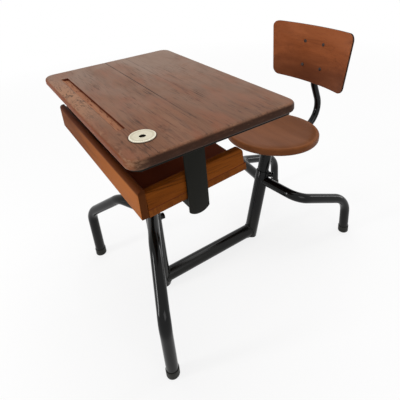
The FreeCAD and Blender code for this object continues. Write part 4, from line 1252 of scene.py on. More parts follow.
class Finish(Enum):
    """The desk's finishes: the record's slot, and the recipe of the material."""

    TOP = ("top_wood", TopWood(
        "writing_top_wood", srgb(126, 86, 63), srgb(108, 71, 51), srgb(82, 54, 41),
        srgb(44, 28, 22), rough_low=0.42, rough_high=0.56, specular=0.06, band_share=0.5,
        dash_share=0.95))
    TRAY = ("tray_wood", TrayWood(
        "tray_wood_front", srgb(134, 74, 26), srgb(112, 57, 17), srgb(84, 40, 10),
        srgb(48, 22, 8), **TRAY_WOOD, seed=3.1))
    TRAY_SIDE = ("tray_wood", TrayWood(
        "tray_wood_sides", srgb(124, 66, 18), srgb(104, 51, 11), srgb(82, 39, 8),
        srgb(44, 20, 6), **TRAY_WOOD, grain=Grain.ALONG_Y, seed=6.4))
    TRAY_FLOOR = ("tray_wood", TrayWood(
        "tray_wood_bottom", srgb(130, 72, 26), srgb(108, 57, 18), srgb(78, 38, 20),
        srgb(40, 18, 10), **TRAY_WOOD, seed=8.8))
    SEAT = ("seat_wood", SeatWood(
        "seat_wood", srgb(124, 75, 44), srgb(107, 62, 33), srgb(90, 51, 27), srgb(66, 38, 22),
        bands=26.0, pores=520.0, pore_share=0.25, rough_low=0.3, rough_high=0.4, seed=9.2,
        specular=0.04, band_share=0.3, dash_share=0.2))
    BACK = ("back_wood", BackWood(
        "back_plywood", srgb(152, 86, 50), srgb(132, 69, 34), srgb(106, 53, 25), srgb(66, 32, 16),
        bands=22.0, pores=520.0, pore_share=0.25, rough_low=0.36, rough_high=0.48, seed=12.8,
        specular=0.06, band_share=0.6, dash_share=0.25))
    GLOSS = ("gloss_paint",
             Paint("gloss_black_enamel", srgb(6, 6, 7), srgb(18, 18, 15), 0.08, 0.18, 0.2, 0.02))
    SATIN = ("satin_paint",
             Paint("satin_black_paint", srgb(21, 21, 17), srgb(31, 30, 25), 0.45, 0.58, 0.08, 0.03))
    RUBBER = ("foot_rubber",
              Paint("foot_cap_rubber", srgb(26, 27, 23), srgb(36, 36, 31), 0.3, 0.5, 0.2, 0.03))
    PORCELAIN = ("porcelain", Glaze("inkwell_glaze", srgb(212, 204, 180), srgb(186, 176, 150)))
    SCREW = ("screw_steel", Metal("screw_steel", srgb(112, 106, 98), srgb(70, 62, 54), 0.9, 0.4))
    DARK_SCREW = ("dark_screw", Metal("dark_screw_steel", srgb(58, 46, 42), srgb(30, 22, 20), 0.6, 0.4))

    @property
    def slot(self) -> str:
        """The record's material slot."""
        return self.value[0]

    @cached_property
    def material(self) -> bpy.types.Material:
        """The material, made once."""
        return self.value[1].material()


def dress(name: str, shell: Shell, finish: Finish, body: Body, *nodes: str,
          sharp: float = 35.0) -> bpy.types.Object:
    """Make a piece from a shell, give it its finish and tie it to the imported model.

    Args:
        name: Name of the piece.
        shell: Its surface.
        finish: Its finish.
        body: The body that it rides on.
        nodes: CAD nodes that it stands for.
        sharp: Angle in degrees above which an edge stays crisp.

    Returns:
        The piece.
    """
    piece = bpy.data.objects.new(name, shell.mesh(name, sharp))
    piece.data.materials.append(finish.material)
    bpy.context.scene.collection.objects.link(piece)
    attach(piece, body.value)
    if nodes:
        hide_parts(*nodes)
    LOG.info("%s: %d faces on %s", name, len(piece.data.polygons), body.value)
    return piece


# ------------------------------------------------------------------ fasteners

@dataclass(frozen=True)
class SlottedScrew:
    """A screw with a low domed head and a straight slot."""

    head: float
    rise: float
    shank: float
    length: float
    slot: float = 1.3 * MM
    depth: float = 1.1 * MM

    def shell(self) -> Shell:
        """Head above z = 0 and shank below it.

        The head is a grid of chords: x = r * sin(a) and y = v * sqrt(r^2 - x^2). Its
        height is a low dome, less the slot where |x| is under half the slot's width.

        Returns:
            The closed shell of head and shank.
        """
        radius = self.head / 2
        half = self.slot / 2
        edges = np.array((half, half + 0.12 * MM))
        swept = radius * np.sin(np.linspace(0.0, math.pi / 2, 10))
        free = swept[(swept > edges[1] + 0.3 * MM)]
        x = np.unique(np.concatenate((-free, -edges, (0.0,), edges, free)))[:, None]
        chord = np.sqrt(np.clip(radius ** 2 - x ** 2, 0, None))
        y = chord * np.sin(np.linspace(-math.pi / 2, math.pi / 2, 17))[None, :]
        away = np.clip((x ** 2 + y ** 2) / radius ** 2, 0, 1)
        skirt = 0.35
        dome = self.rise * (skirt + (1 - skirt) * np.sqrt(1 - away * 0.999))
        height = np.where(np.abs(x) < half + 0.01 * MM, dome - self.depth, dome)
        top = np.stack((x + 0 * y, y, height), axis=-1)
        floor = np.stack((x + 0 * y, y, 0 * height), axis=-1)
        shell = Shell().grid(top).grid(floor)
        shell.grid(np.stack((top[:, 0], floor[:, 0]))).grid(np.stack((top[:, -1], floor[:, -1])))
        return shell.add(self._shank())

    def _shank(self) -> Shell:
        """A plain round shank with a bevelled tip, sunk a little into the head."""
        radius = self.shank / 2
        top, tip = self.rise * 0.2, -self.length
        return turned(outlined((0.0, top), (radius, top), (radius, tip + radius / 2),
                               (radius / 2, tip), (0.0, tip)), 20)


@dataclass(frozen=True)
class HexHead:
    """A hexagon with both rims bevelled as a turned blank leaves them."""

    flats: float
    height: float
    bore: float = 0.0

    def shell(self) -> Shell:
        """The hexagon from z = 0 up.

        Its radius at an angle t is (flats / 2) / cos(t), t from the middle of a flat.
        A cone takes off what stands beyond the flats' circle at both ends.

        Returns:
            The closed shell.
        """
        around = HEX_STEPS * 6
        local = (circle(around) + math.pi / 6) % (math.pi / 3) - math.pi / 6
        reach, inner = self.flats / 2 / np.cos(local), self.flats / 2 * 0.96
        drop = (reach - inner) * math.tan(math.radians(30))
        rings = ((self.bore / 2, self.height), (inner, self.height), (reach, self.height - drop),
                 (reach, drop), (inner, 0.0), (self.bore / 2, 0.0))
        points = np.stack([hoop(radius, level, around) for radius, level in rings])
        return Shell().grid(points, round_rows=self.bore > 0, round_columns=True)


WOOD_SCREW = SlottedScrew(9.5 * MM, 2.6 * MM, 5 * MM, 14 * MM)


def fixed(kind: SlottedScrew | HexHead, spots: Iterable[tuple[Sequence[float], Array, float]]) -> Shell:
    """Put one screw or nut at each spot.

    Args:
        kind: What is fixed.
        spots: For each one its place, the way its head looks, and its turn in degrees.

    Returns:
        All of them in one shell.
    """
    shell = Shell()
    for where, facing, degrees in spots:
        rows = basis(facing)
        cos, sin = math.cos(math.radians(degrees)), math.sin(math.radians(degrees))
        rows = np.stack((cos * rows[0] + sin * rows[1], cos * rows[1] - sin * rows[0], rows[2]))
        shell.add(kind.shell(), rows, np.array(where))
    return shell


# ------------------------------------------------------------------ frame

@dataclass
class Post:
    """A round sleeve with its clamp boss and clamp screw."""

    name: str
    place: Place
    foot: float
    top: float
    clamp: float
    facing: float
    boss_length: float
    clamp_body: Body
    outer: float = 0.048
    wall: float = 2.7 * MM
    rim: float = 1.1 * MM
    boss: float = 0.020
    head_gap: float = 0.6 * MM
    head_size: float = 0.019
    head_height: float = 6.5 * MM
    shank: float = 0.012
    tip: float = 0.0213

    @property
    def axis(self) -> Array:
        """Unit direction of the post."""
        return self.place.turned(Z_AXIS)

    @property
    def cylinder(self) -> Cylinder:
        """The sleeve's outside."""
        return Cylinder(np.array(self.place.origin), self.axis, self.outer / 2)

    @property
    def clamp_direction(self) -> Array:
        """Where the clamp screw's head looks."""
        angle = math.radians(self.facing)
        return self.place.turned(np.array((math.sin(angle), math.cos(angle), 0.0)))

    def build(self) -> None:
        """Make the sleeve, boss, welds and clamp screw."""
        outer, inner, rim = self.outer / 2, self.outer / 2 - self.wall, self.rim
        profile = outlined(arc((outer - rim, self.foot + rim), rim, -90, 0, 4),
                           arc((outer - rim, self.top - rim), rim, 0, 90, 5),
                           arc((inner + rim, self.top - rim), rim, 90, 180, 5), (inner, self.foot))
        self._keep("sleeve", self.place.carried(turned(profile, 96, closed=True)))

        centre = np.array((0.0, 0.0, self.clamp))
        middle = self.place.world(centre)
        direction = self.clamp_direction
        stand = outer + self.boss_length
        radius, ease = self.boss / 2, 0.8 * MM
        bore = self.shank / 2 + 0.1 * MM
        boss = outlined((bore, outer - 2 * MM), (radius, outer - 2 * MM),
                        arc((radius - ease, stand - ease), ease, 0, 90, 4), (bore, stand))
        shell = Shell().add(turned(boss, 48, closed=True), basis(direction), middle)
        self._keep("clamp_boss", shell)
        weld = weld_bead(middle, direction, radius, self.cylinder, 1.3 * MM, 2.6 * MM, 96)
        dress(f"{self.name}_boss_weld", weld, Finish.GLOSS, Body.BASE)
        self._clamp(middle, direction, stand)

    def _clamp(self, middle: Array, direction: Array, stand: float) -> None:
        """The clamp screw: a bevelled hexagon on a plain shank.

        Args:
            middle: Centre of the boss on the post's axis.
            direction: Outward axis of the screw.
            stand: Reach of the boss along it.
        """
        start = stand + self.head_gap
        ease, radius, end = 0.8 * MM, self.shank / 2, start + 1 * MM
        profile = outlined((0.0, self.tip), (radius - ease, self.tip), (radius, self.tip + ease),
                           (radius, end), (0.0, end))
        shell = turned(profile, 32)
        shell.add(HexHead(self.head_size, self.head_height).shell(), offset=Z_AXIS * start)
        shell = Shell().add(shell, basis(direction), middle)
        dress(f"{self.name}_clamp", shell, Finish.GLOSS, self.clamp_body,
              f"{self.name}_clamp_screw", sharp=28)

    def _keep(self, part: str, shell: Shell) -> None:
        """Dress one painted part of the post."""
        dress(f"{self.name}_post_{part}", shell, Finish.GLOSS, Body.BASE, f"{self.name}_{part}")


@dataclass
class BentFrame:
    """Two posts, the low link between them and four bent legs on foot caps."""

    leg: float = 0.034
    flatten: float = 0.07
    sunk: float = 1.5 * MM
    around: int = 56
    step: float = 0.012
    cap_grooves: Pair = (0.010, 0.013)
    weld: float = 2.3 * MM
    desk_leg_height: float = 0.313
    desk_leg_turn: float = 23.1
    desk_leg_shoulder: float = 0.1405
    desk_leg_reach: float = 0.3114
    desk_leg_knee: float = 0.194
    desk_leg_bends: Pair = (0.081, 0.062)
    seat_leg_rise: float = 0.214
    seat_leg_shoulder: Triple = (0.166, 0.0255, -0.007)
    seat_leg_foot: Pair = (0.198, 0.243)
    seat_leg_knee: float = 0.151
    seat_leg_bends: Pair = (0.057, 0.080)
    sole: float = 0.006
    link: float = 0.047
    posts: dict[str, Post] = field(default_factory=dict)

    def build(self) -> None:
        """Make the whole frame."""
        self.posts["desk"] = Post("desk", LAYOUT.desk_post, foot=0.010, top=0.345, clamp=0.279, facing=0.0,
                                  boss_length=4.5 * MM, clamp_body=Body.DESK_CLAMP)
        self.posts["seat"] = Post("seat", LAYOUT.seat_post, foot=-0.024, top=0.250, clamp=0.238,
                                  facing=45.0, boss_length=9.0 * MM, clamp_body=Body.SEAT_CLAMP)
        for post in self.posts.values():
            post.build()
        self._link()
        for side in Side:
            self._leg("desk", side, self._desk_corners(side), self.desk_leg_bends)
            self._leg("seat", side, self._seat_corners(side), self.seat_leg_bends)

    def _desk_corners(self, side: Side) -> Array:
        """Corner points of a desk leg, which lies in one upright plane.

        Args:
            side: Left or right.

        Returns:
            Four points, from the post down to the sole.
        """
        turn = math.radians(self.desk_leg_turn)
        outward = np.array((side.value * math.cos(turn), -math.sin(turn), 0.0))
        axis = np.array(LAYOUT.desk_post.origin)
        level = Z_AXIS * self.desk_leg_height
        foot = axis + outward * self.desk_leg_reach
        return np.stack((axis + level, axis + outward * self.desk_leg_shoulder + level,
                         foot + Z_AXIS * self.desk_leg_knee, foot + Z_AXIS * self.sole))

    def _seat_corners(self, side: Side) -> Array:
        """Corner points of a stool leg: sideways, back to the knee, upright.

        Args:
            side: Left or right.

        Returns:
            Four points, from the post down to the sole.
        """
        start = LAYOUT.seat_post.world(Z_AXIS * self.seat_leg_rise)
        across, behind, fall = self.seat_leg_shoulder
        shoulder = start + np.array((side.value * across, behind, fall))
        foot = np.array((side.value * self.seat_leg_foot[0], start[1] + self.seat_leg_foot[1], 0.0))
        return np.stack((start, shoulder, foot + Z_AXIS * self.seat_leg_knee, foot + Z_AXIS * self.sole))

    def _leg(self, name: str, side: Side, corners: Array, bends: Sequence[float]) -> None:
        """One bent leg, coped and welded to its sleeve, with its foot cap.

        Args:
            name: Desk or seat, as in the piece's name.
            side: Left or right.
            corners: Corner points of its middle line.
            bends: Radius at each inner corner.
        """
        post = self.posts[name].cylinder
        direction = unit(corners[1] - corners[0])
        across = unit(np.array((side.value, -1.0, 0.0)))
        if name == "desk":
            across = unit(np.cross(direction, Z_AXIS))
        line = bent_line(corners, bends, self.step)
        skin = tube_skin(line, self.leg / 2, across, self.around, self.flatten)
        skin = coped_start(skin, direction, post, self.sunk)
        shell = Shell().sleeve(skin).flat(skin[-1])
        shell.cone(skin[0], 0.3, direction * self.leg)
        dress(f"{name}_bent_leg_{side.label}", shell, Finish.GLOSS, Body.BASE, f"{name}_leg_{side.label}")
        bead = weld_bead(corners[0], direction, self.leg / 2, post, self.weld)
        dress(f"{name}_leg_weld_{side.label}", bead, Finish.GLOSS, Body.BASE)
        self._foot(name, side, corners[-1])

    def _foot(self, name: str, side: Side, foot: Array) -> None:
        """A rubber cup with a rolled lip and two shallow grooves.

        Args:
            name: Desk or seat, as in the piece's name.
            side: Left or right.
            foot: Lower end of the leg.
        """
        low, high = extent(f"{name}_foot_cap_{side.label}")
        radius = (high[0] - low[0]) / 2
        height, inner = high[2], self.leg / 2 + 0.05 * MM
        lip, toe, groove = 1.2 * MM, 4.5 * MM, 0.5 * MM
        rings = [outlined((radius, level - groove), (radius - groove, level),
                          (radius, level + groove)) for level in self.cap_grooves]
        profile = outlined((0.0, 0.4 * MM), (radius - 2 * toe, 0.4 * MM), (radius - 1.6 * toe, 0.0),
                           arc((radius - toe, toe), toe, -90, 0, 8), *rings,
                           arc((radius - lip, height - lip), lip, 0, 90, 4),
                           (inner, height - lip), (inner, self.sole), (0.0, self.sole))
        shell = Shell().add(turned(profile, 64), offset=np.array((foot[0], foot[1], 0.0)))
        dress(f"{name}_foot_rubber_{side.label}", shell, Finish.RUBBER, Body.BASE,
              f"{name}_foot_cap_{side.label}")

    def _link(self) -> None:
        """The low tube from post to post, with a weld at each end."""
        start = np.array((0.0, LAYOUT.desk_y, LAYOUT.link_z))
        end = start + Y_AXIS * LAYOUT.post_distance
        around = hoop(self.link / 2, 0.0, 80) @ basis(Y_AXIS)
        rows = []
        for origin, direction, name in ((start, Y_AXIS, "desk"), (end, -Y_AXIS, "seat")):
            post = self.posts[name].cylinder
            reach = post.leaving(origin + around, direction, self.sunk)
            rows.append(origin + around + reach[:, None] * direction)
            bead = weld_bead(origin, direction, self.link / 2, post, self.weld, around=240)
            dress(f"link_weld_{name}", bead, Finish.GLOSS, Body.BASE)
        share = np.linspace(0, 1, 12)[:, None, None]
        skin = rows[0] * (1 - share) + rows[1] * share
        shell = Shell().sleeve(skin)
        middle = (start + end) / 2
        for row in (skin[0], skin[-1]):
            shell.cone(row, 0.9, (middle - row.mean(0)) * 0.2)
        dress("low_link", shell, Finish.GLOSS, Body.BASE, "link_tube")


# ------------------------------------------------------------------ desk top

@dataclass
class Groove:
    """The pen groove: a cove at the front that falls to a flat floor."""

    length: float = 0.452
    width: float = 0.020
    depth: float = 0.007
    inset: float = 0.035
    middle: float = -0.033

    def depth_at(self, x: Array, y: Array) -> Array:
        """Depth under the top: a sine rise over two thirds, then the full depth.

        Args:
            x: Distance from the middle plane.
            y: Distance from the front edge.

        Returns:
            The depth at each point.
        """
        share = (y - self.inset) / self.width
        rise = np.sin(np.clip(share * 1.5, 0, 1) * math.pi / 2)
        inside = (np.abs(x - self.middle) <= self.length / 2) & (share > 0) & (share <= 1)
        return np.where(inside, self.depth * rise, 0.0)


@dataclass
class GluedTop:
    """The writing top: three boards, glued edge to edge, with a softened rim."""

    corner: float = 0.030
    edge: float = 0.009
    vee: float = 0.35 * MM
    wall: float = 0.25 * MM
    pitch: float = 0.009
    hole_gap: float = 0.5 * MM
    hole_block: float = 0.034
    groove: Groove = field(default_factory=Groove)

    def build(self) -> None:
        """Make the three boards."""
        for part in ("front", "middle", "rear"):
            shell = self._board(part)
            dress(f"writing_board_{part}", shell, Finish.TOP, Body.TOP, f"top_board_{part}")

    def _board(self, part: str) -> Shell:
        """One board as an upper and a lower sheet joined round their rims.

        On a grid of lines along X and Y, the height falls near the rounded sides, in the
        vee of a joint and in the groove, and the squares at a corner become arcs.

        Args:
            part: Which board: front, middle or rear.

        Returns:
            The closed shell.
        """
        low, high = extent(f"top_board_{part}")
        lines_x = self._lines(low[0], high[0], True, True)
        lines_y = self._lines(low[1], high[1], part == "front", part == "rear")
        hole = self._hole() if part == "front" else None
        if hole:
            near, gap, groove = low[1] + self.groove.inset, self.wall, self.groove
            ends = [groove.middle + sign * groove.length / 2 for sign in (-1, 1)]
            lines_x = with_lines(lines_x,
                                 (ends[0] - gap, ends[0] + CRISP, ends[1] - CRISP, ends[1] + gap))
            lines_x = with_lines(lines_x, hole.across)
            coves = near + np.linspace(0, 2 / 3, 7) * groove.width
            lines_y = with_lines(lines_y,
                                 (*coves, near + groove.width - CRISP, near + groove.width + gap))
            lines_y = with_lines(lines_y, hole.along)
        x, y = np.meshgrid(lines_x, lines_y, indexing="ij")
        side = np.minimum(x - low[0], high[0] - x)
        ends_y = {"front": y - low[1], "rear": high[1] - y}.get(part, np.full_like(y, np.inf))
        inside = np.minimum(side, ends_y)
        fall = eased(inside, self.edge)
        upper = high[2] - fall - self._wear(x, y, inside) - self._vee(y, low, high, part)
        if hole:
            upper = upper - self.groove.depth_at(x, y - low[1])
        block, along_x, along_y = corner_arcs(side, ends_y, self.corner)
        new_y = low[1] + self.corner - along_y if part == "front" else high[1] - self.corner + along_y
        x = np.where(block, np.sign(x) * (high[0] - self.corner + along_x), x)
        y = np.where(block, new_y, y)
        keep = np.ones((len(lines_x) - 1, len(lines_y) - 1), bool)
        shell = Shell()
        top, bottom = np.stack((x, y, upper), -1), np.stack((x, y, low[2] + fall), -1)
        if hole:
            i = [int(np.argmin(abs(lines_x - value))) for value in hole.across]
            j = [int(np.argmin(abs(lines_y - value))) for value in hole.along]
            keep[i[0]:i[1], j[0]:j[1]] = False
            circles = []
            for sheet, ease in ((top, 0.4 * MM), (bottom, -0.4 * MM)):
                rows = hole.collar(frame_of(sheet, i, j), ease)
                shell.sleeve(rows)
                circles.append(rows[-1])
            shell.sleeve(np.stack(circles))
        shell.grid(top, keep=keep).grid(bottom, keep=keep)
        rims = [frame_of(sheet, (0, len(lines_x) - 1), (0, len(lines_y) - 1)) for sheet in (top, bottom)]
        return shell.sleeve(np.stack(rims))

    def _hole(self) -> "RoundHole":
        """The inkwell's hole, just wider than its cup."""
        x, y, _, _ = well()
        return RoundHole((x, y), INKWELL_CUP + self.hole_gap, self.hole_block)

    def _lines(self, low: float, high: float, round_low: bool, round_high: bool) -> Array:
        """Grid lines from low to high."""
        return spaced(low, high, self.edge, self.corner, self.pitch, (7, 5), round_low, round_high)

    def _wear(self, x: Array, y: Array, inside: Array) -> Array:
        """Slow waves over the face and small dips along the rim.

        Args:
            x: X of the grid points.
            y: Y of the grid points.
            inside: Distance from the rim.

        Returns:
            How deep each point is worn.
        """
        waves = np.sin(x * 31 + 0.8) * np.sin(y * 43 + 0.3) + 0.6 * np.sin(x * 67 + y * 52)
        rim = np.clip(1 - inside / 0.014, 0, 1) ** 2
        dips = np.sin(x * 83 + 1.1) * np.sin(x * 37 + y * 91) ** 2
        return 0.06 * MM * (waves + 1.6) + 0.35 * MM * rim * np.clip(dips, 0, None)

    def _vee(self, y: Array, low: Array, high: Array, part: str) -> Array:
        """A fine vee where a board meets its neighbour.

        Args:
            y: Y of the grid points.
            low: Lowest corner of the board.
            high: Highest corner of the board.
            part: Which board it is.

        Returns:
            Depth of the vee at each point.
        """
        joint = np.full_like(y, np.inf)
        if part != "front":
            joint = np.minimum(joint, y - low[1])
        if part != "rear":
            joint = np.minimum(joint, high[1] - y)
        return self.vee * np.clip(1 - joint / self.vee, 0, 1)


def eased(inside: Array, radius: float) -> Array:
    """Fall of a rounded edge at a distance d inside: r - sqrt(r^2 - (r - d)^2), and 0 past r."""
    return radius - np.sqrt(np.clip(radius ** 2 - np.clip(radius - inside, 0, None) ** 2, 0, None))


def spaced(low: float, high: float, edge: float, corner: float, pitch: float,
           steps: tuple[int, int], rounded_low: bool = True, rounded_high: bool = True) -> Array:
    """Grid lines from low to high, closer together at rounded sides.

    Args:
        low: First line.
        high: Last line.
        edge: Radius of the edge.
        corner: Radius of the corners.
        pitch: Distance of the lines in between.
        steps: Lines within the edge's radius, and from there to the corner's.
        rounded_low: Whether the low side is rounded.
        rounded_high: Whether the high side is rounded.

    Returns:
        The lines in order.
    """
    angles = np.linspace(0, math.pi / 2, steps[0])
    near = np.concatenate((edge * (1 - np.cos(angles)), np.linspace(edge, corner, steps[1])[1:]))
    start = low + corner * rounded_low
    end = high - corner * rounded_high
    count = max(2, round((end - start) / pitch))
    parts = [np.linspace(start, end, count + 1)]
    parts += [low + near] * rounded_low + [high - near] * rounded_high
    return np.unique(np.round(np.concatenate(parts), 7))


def corner_arcs(side: Array, ends: Array, corner: float) -> tuple[Array, Array, Array]:
    """Where the squares of a grid's corner blocks go when they become arcs.

    With a and b from a block's inner corner, the radius is max(a, b) and the angle 45
    degrees times min / max.

    Args:
        side: Distance of each point from the nearest side along the first axis.
        ends: The same along the second axis.
        corner: Radius of the corners.

    Returns:
        Mask of the blocks, and the reach from the inner corner along both axes.
    """
    block = (side < corner) & (ends < corner)
    a, b = np.where(block, corner - side, 0.0), np.where(block, corner - ends, 0.0)
    far, near = np.maximum(a, b), np.minimum(a, b)
    angle = math.pi / 4 * near / np.where(far > 0, far, 1.0)
    long_part, short_part = far * np.cos(angle), far * np.sin(angle)
    return block, np.where(a >= b, long_part, short_part), np.where(a >= b, short_part, long_part)


def with_lines(lines: Array, wanted: Iterable[float]) -> Array:
    """Put lines into a grid and drop those of its own that lie too close.

    Args:
        lines: Grid lines in order.
        wanted: Lines that have to be there.

    Returns:
        All lines in order.
    """
    wanted = np.array(list(wanted))
    near = np.min(np.abs(lines[:, None] - wanted[None]), axis=1)
    ends = (lines == lines[0]) | (lines == lines[-1])
    return np.unique(np.concatenate((lines[(near > 1.2 * MM) | ends], wanted)))


def frame_of(sheet: Array, rows: Sequence[int], columns: Sequence[int]) -> Array:
    """Ring of points round a block of a grid, from its first and last row and column."""
    block = sheet[rows[0]:rows[1] + 1, columns[0]:columns[1] + 1]
    return np.concatenate((block[:-1, 0], block[-1, :-1], block[:0:-1, -1], block[0, :0:-1]))


@dataclass(frozen=True)
class RoundHole:
    """A round hole in a board, inside a square block of its grid."""

    centre: Pair
    radius: float
    half: float

    @property
    def across(self) -> Pair:
        """The block's two lines square to X."""
        return self.centre[0] - self.half, self.centre[0] + self.half

    @property
    def along(self) -> Pair:
        """The block's two lines square to Y."""
        return self.centre[1] - self.half, self.centre[1] + self.half

    def collar(self, rim: Array, ease: float) -> Array:
        """Rows from the block's rim to the hole, the last one eased downwards.

        Each point moves straight towards the circle's point at its own angle.

        Args:
            rim: Points round the block.
            ease: How far the hole's edge falls.

        Returns:
            Array of rows, ring points and coordinates.
        """
        spokes = unit(rim[:, :2] - self.centre)
        target, last = rim.copy(), rim.copy()
        target[:, :2] = self.centre + spokes * (self.radius + abs(ease))
        last[:, :2] = self.centre + spokes * self.radius
        last[:, 2] -= ease
        shares = np.array((0.0, 0.35, 0.7, 1.0))[:, None, None]
        return np.concatenate((rim * (1 - shares) + target * shares, last[None]))


@dataclass
class Inkwell:
    """A porcelain cup with a domed flange, a rolled rim and a small mouth."""

    wall: float = 3.0 * MM
    mouth: float = 7.0 * MM
    flange: float = 3.2 * MM
    foot: float = 3.0 * MM

    def build(self) -> None:
        """Make the cup."""
        x, y, rim, crown = well()
        seat = crown - self.flange
        depth = seat - extent("inkwell")[0][2]
        cup, inner, bead, top = INKWELL_CUP, INKWELL_CUP - self.wall, 1.5 * MM, self.flange
        mouth = self.mouth
        profile = outlined(
            (0.0, -depth + 0.6 * MM), (cup - self.foot * 2.2, -depth + 0.6 * MM),
            (cup - self.foot * 1.9, -depth),
            arc((cup - self.foot, -depth + self.foot), self.foot, -90, 0, 7),
            (cup, -1.2 * MM), (cup + 0.2 * MM, -0.3 * MM), (cup + 0.8 * MM, 0.0),
            (rim - bead, 0.0), arc((rim - bead, bead), bead, -90, 55, 9),
            arc((rim - 2.1 * MM, top - 1.2 * MM), 1.2 * MM, 60, 130, 6),
            (rim - 4.0 * MM, top * 0.80), (rim - 5.2 * MM, top * 0.73), (rim - 8 * MM, top * 0.74),
            (mouth + 7 * MM, top * 0.77), (mouth + 3.5 * MM, top * 0.80),
            (mouth + 1.6 * MM, top * 0.76), (mouth + 0.5 * MM, top * 0.55), (mouth, 0.0),
            (mouth, -1.8 * MM), (mouth + 0.6 * MM, -2.7 * MM), (mouth + 2 * MM, -3.3 * MM),
            (inner - 1.5 * MM, -4.4 * MM), (inner, -6.5 * MM), (inner, -depth + 8 * MM),
            (inner - 2 * MM, -depth + 4.5 * MM), (inner - 6 * MM, -depth + self.wall),
            (0.0, -depth + self.wall))
        shell = Shell().add(turned(profile, 96), offset=np.array((x, y, seat)))
        dress("porcelain_inkwell", shell, Finish.PORCELAIN, Body.INKWELL, "inkwell", sharp=60)


@dataclass
class Carrier:
    """Flat steel under the top: rails, side plates, channel, stay and their screws."""

    ease: float = 0.8 * MM
    rail_chamfer: float = 0.014
    plate_corner: float = 0.511
    plate_end: float = 0.036
    channel_half: float = 0.026
    channel_wall: float = 4.0 * MM
    channel_deep: float = 0.023
    stay_thick: float = 3.0 * MM
    stay_screw_back: float = 0.0156
    stay_screw_up: float = 0.012
    rail_screw_x: float = 0.322
    rail_screw_pitch: float = 0.120
    channel_screw_x: Pair = (0.110, 0.255)

    def build(self) -> None:
        """Make all steel of the carrier."""
        for side in Side:
            self._rail(side)
            self._plate(side)
        self._channel()
        self._stay()
        self._rail_screws()
        self._channel_screws()
        self._stay_screws()

    def _rail(self, side: Side) -> None:
        """A flat bar with its two outer corners cut off.

        Args:
            side: Left or right.
        """
        low, high = extent(f"top_rail_{side.label}")
        cut = self.rail_chamfer
        inner, outer = (low[0], high[0]) if side is Side.LEFT else (high[0], low[0])
        step = outer - side.value * cut
        corners = [(inner, low[1]), (step, low[1]), (outer, low[1] + cut),
                   (outer, high[1] - cut), (step, high[1]), (inner, high[1])]
        bar = plank(rounded(corners, [1.5 * MM] * 6, 4), low[2], high[2], self.ease, 2)
        dress(f"under_rail_{side.label}", bar, Finish.SATIN, Body.TOP, f"top_rail_{side.label}")

    def _plate(self, side: Side) -> None:
        """A hanging plate whose lower end is an arc.

        Args:
            side: Left or right.
        """
        low, high = extent(f"side_plate_{side.label}")
        middle, half = (low[1] + high[1]) / 2, (high[1] - low[1]) / 2
        reach = math.degrees(math.asin(half / self.plate_end))
        centre = (middle, self.plate_corner + math.sqrt(self.plate_end ** 2 - half ** 2))
        bottom = arc(centre, self.plate_end, -90 - reach, -90 + reach, 15)
        outline = outlined(bottom, (high[1], high[2]), (low[1], high[2]))
        dress(f"hanging_plate_{side.label}", plank(outline, low[0], high[0], self.ease, 0),
              Finish.SATIN, Body.TOP, f"side_plate_{side.label}")

    def _channel(self) -> None:
        """The channel under the tray, open downwards, with rounded bends."""
        low, high = extent("cross_channel")
        half, wall, deep = self.channel_half, self.channel_wall, self.channel_deep
        corners = [(-half, 0), (-half, -deep), (-half + wall, -deep), (-half + wall, -wall),
                   (half - wall, -wall), (half - wall, -deep), (half, -deep), (half, 0)]
        bend, rim, inner = 4 * MM, 0.8 * MM, 1.5 * MM
        outline = rounded(corners, [bend, rim, rim, inner, inner, rim, rim, bend], 5)
        shell = LAYOUT.tray.carried(plank(outline, low[0], high[0], 0.4 * MM, 0))
        dress("tray_channel", shell, Finish.SATIN, Body.TOP, "cross_channel")

    def _stay(self) -> None:
        """The stay: a strip bent once, from the front board up to the top."""
        low, high = extent("front_stay")
        thick, rim = self.stay_thick, 0.7 * MM
        corners = [(low[1], low[2]), (low[1] + thick, low[2]), (low[1] + thick, high[2] - thick),
                   (high[1], high[2] - thick), (high[1], high[2]), (low[1], high[2])]
        outline = rounded(corners, [rim, rim, 2 * MM, rim, rim, 4.5 * MM], 5)
        dress("bent_stay", plank(outline, low[0], high[0], rim, 0), Finish.SATIN, Body.TOP, "front_stay")

    def _rail_screws(self) -> None:
        """Four wood screws up through each rail."""
        low, high = extent("top_board_front", "top_board_rear")
        centre, level = (low[1] + high[1]) / 2, extent("top_rail_left")[0][2]
        spots = [((side.value * self.rail_screw_x, centre + step * self.rail_screw_pitch, level),
                  -Z_AXIS, 40 * step) for side in Side for step in (-1.5, -0.5, 0.5, 1.5)]
        dress("rail_wood_screws", fixed(WOOD_SCREW, spots), Finish.SCREW, Body.TOP, "rail_screws",
              sharp=40)

    def _channel_screws(self) -> None:
        """Two wood screws up through each end of the channel."""
        spots = [((side.value * reach, 0.0, -self.channel_wall), -Z_AXIS, 700 * reach)
                 for side in Side for reach in self.channel_screw_x]
        dress("channel_wood_screws", LAYOUT.tray.carried(fixed(WOOD_SCREW, spots)), Finish.SCREW,
              Body.TOP, "channel_screws", sharp=40)

    def _stay_screws(self) -> None:
        """Two wood screws through each leg of the stay."""
        low, high = extent("front_stay")
        quarter, thick = (high[0] - low[0]) / 4, self.stay_thick
        spots = []
        for side in Side:
            x = side.value * quarter
            spots.append(((x, low[1] + self.stay_screw_back, high[2] - thick), -Z_AXIS, 25 * side.value))
            spots.append(((x, low[1] + thick, low[2] + self.stay_screw_up), Y_AXIS, 60 * side.value))
        dress("stay_wood_screws", fixed(WOOD_SCREW, spots), Finish.SCREW, Body.TOP, "stay_screws",
              sharp=40)


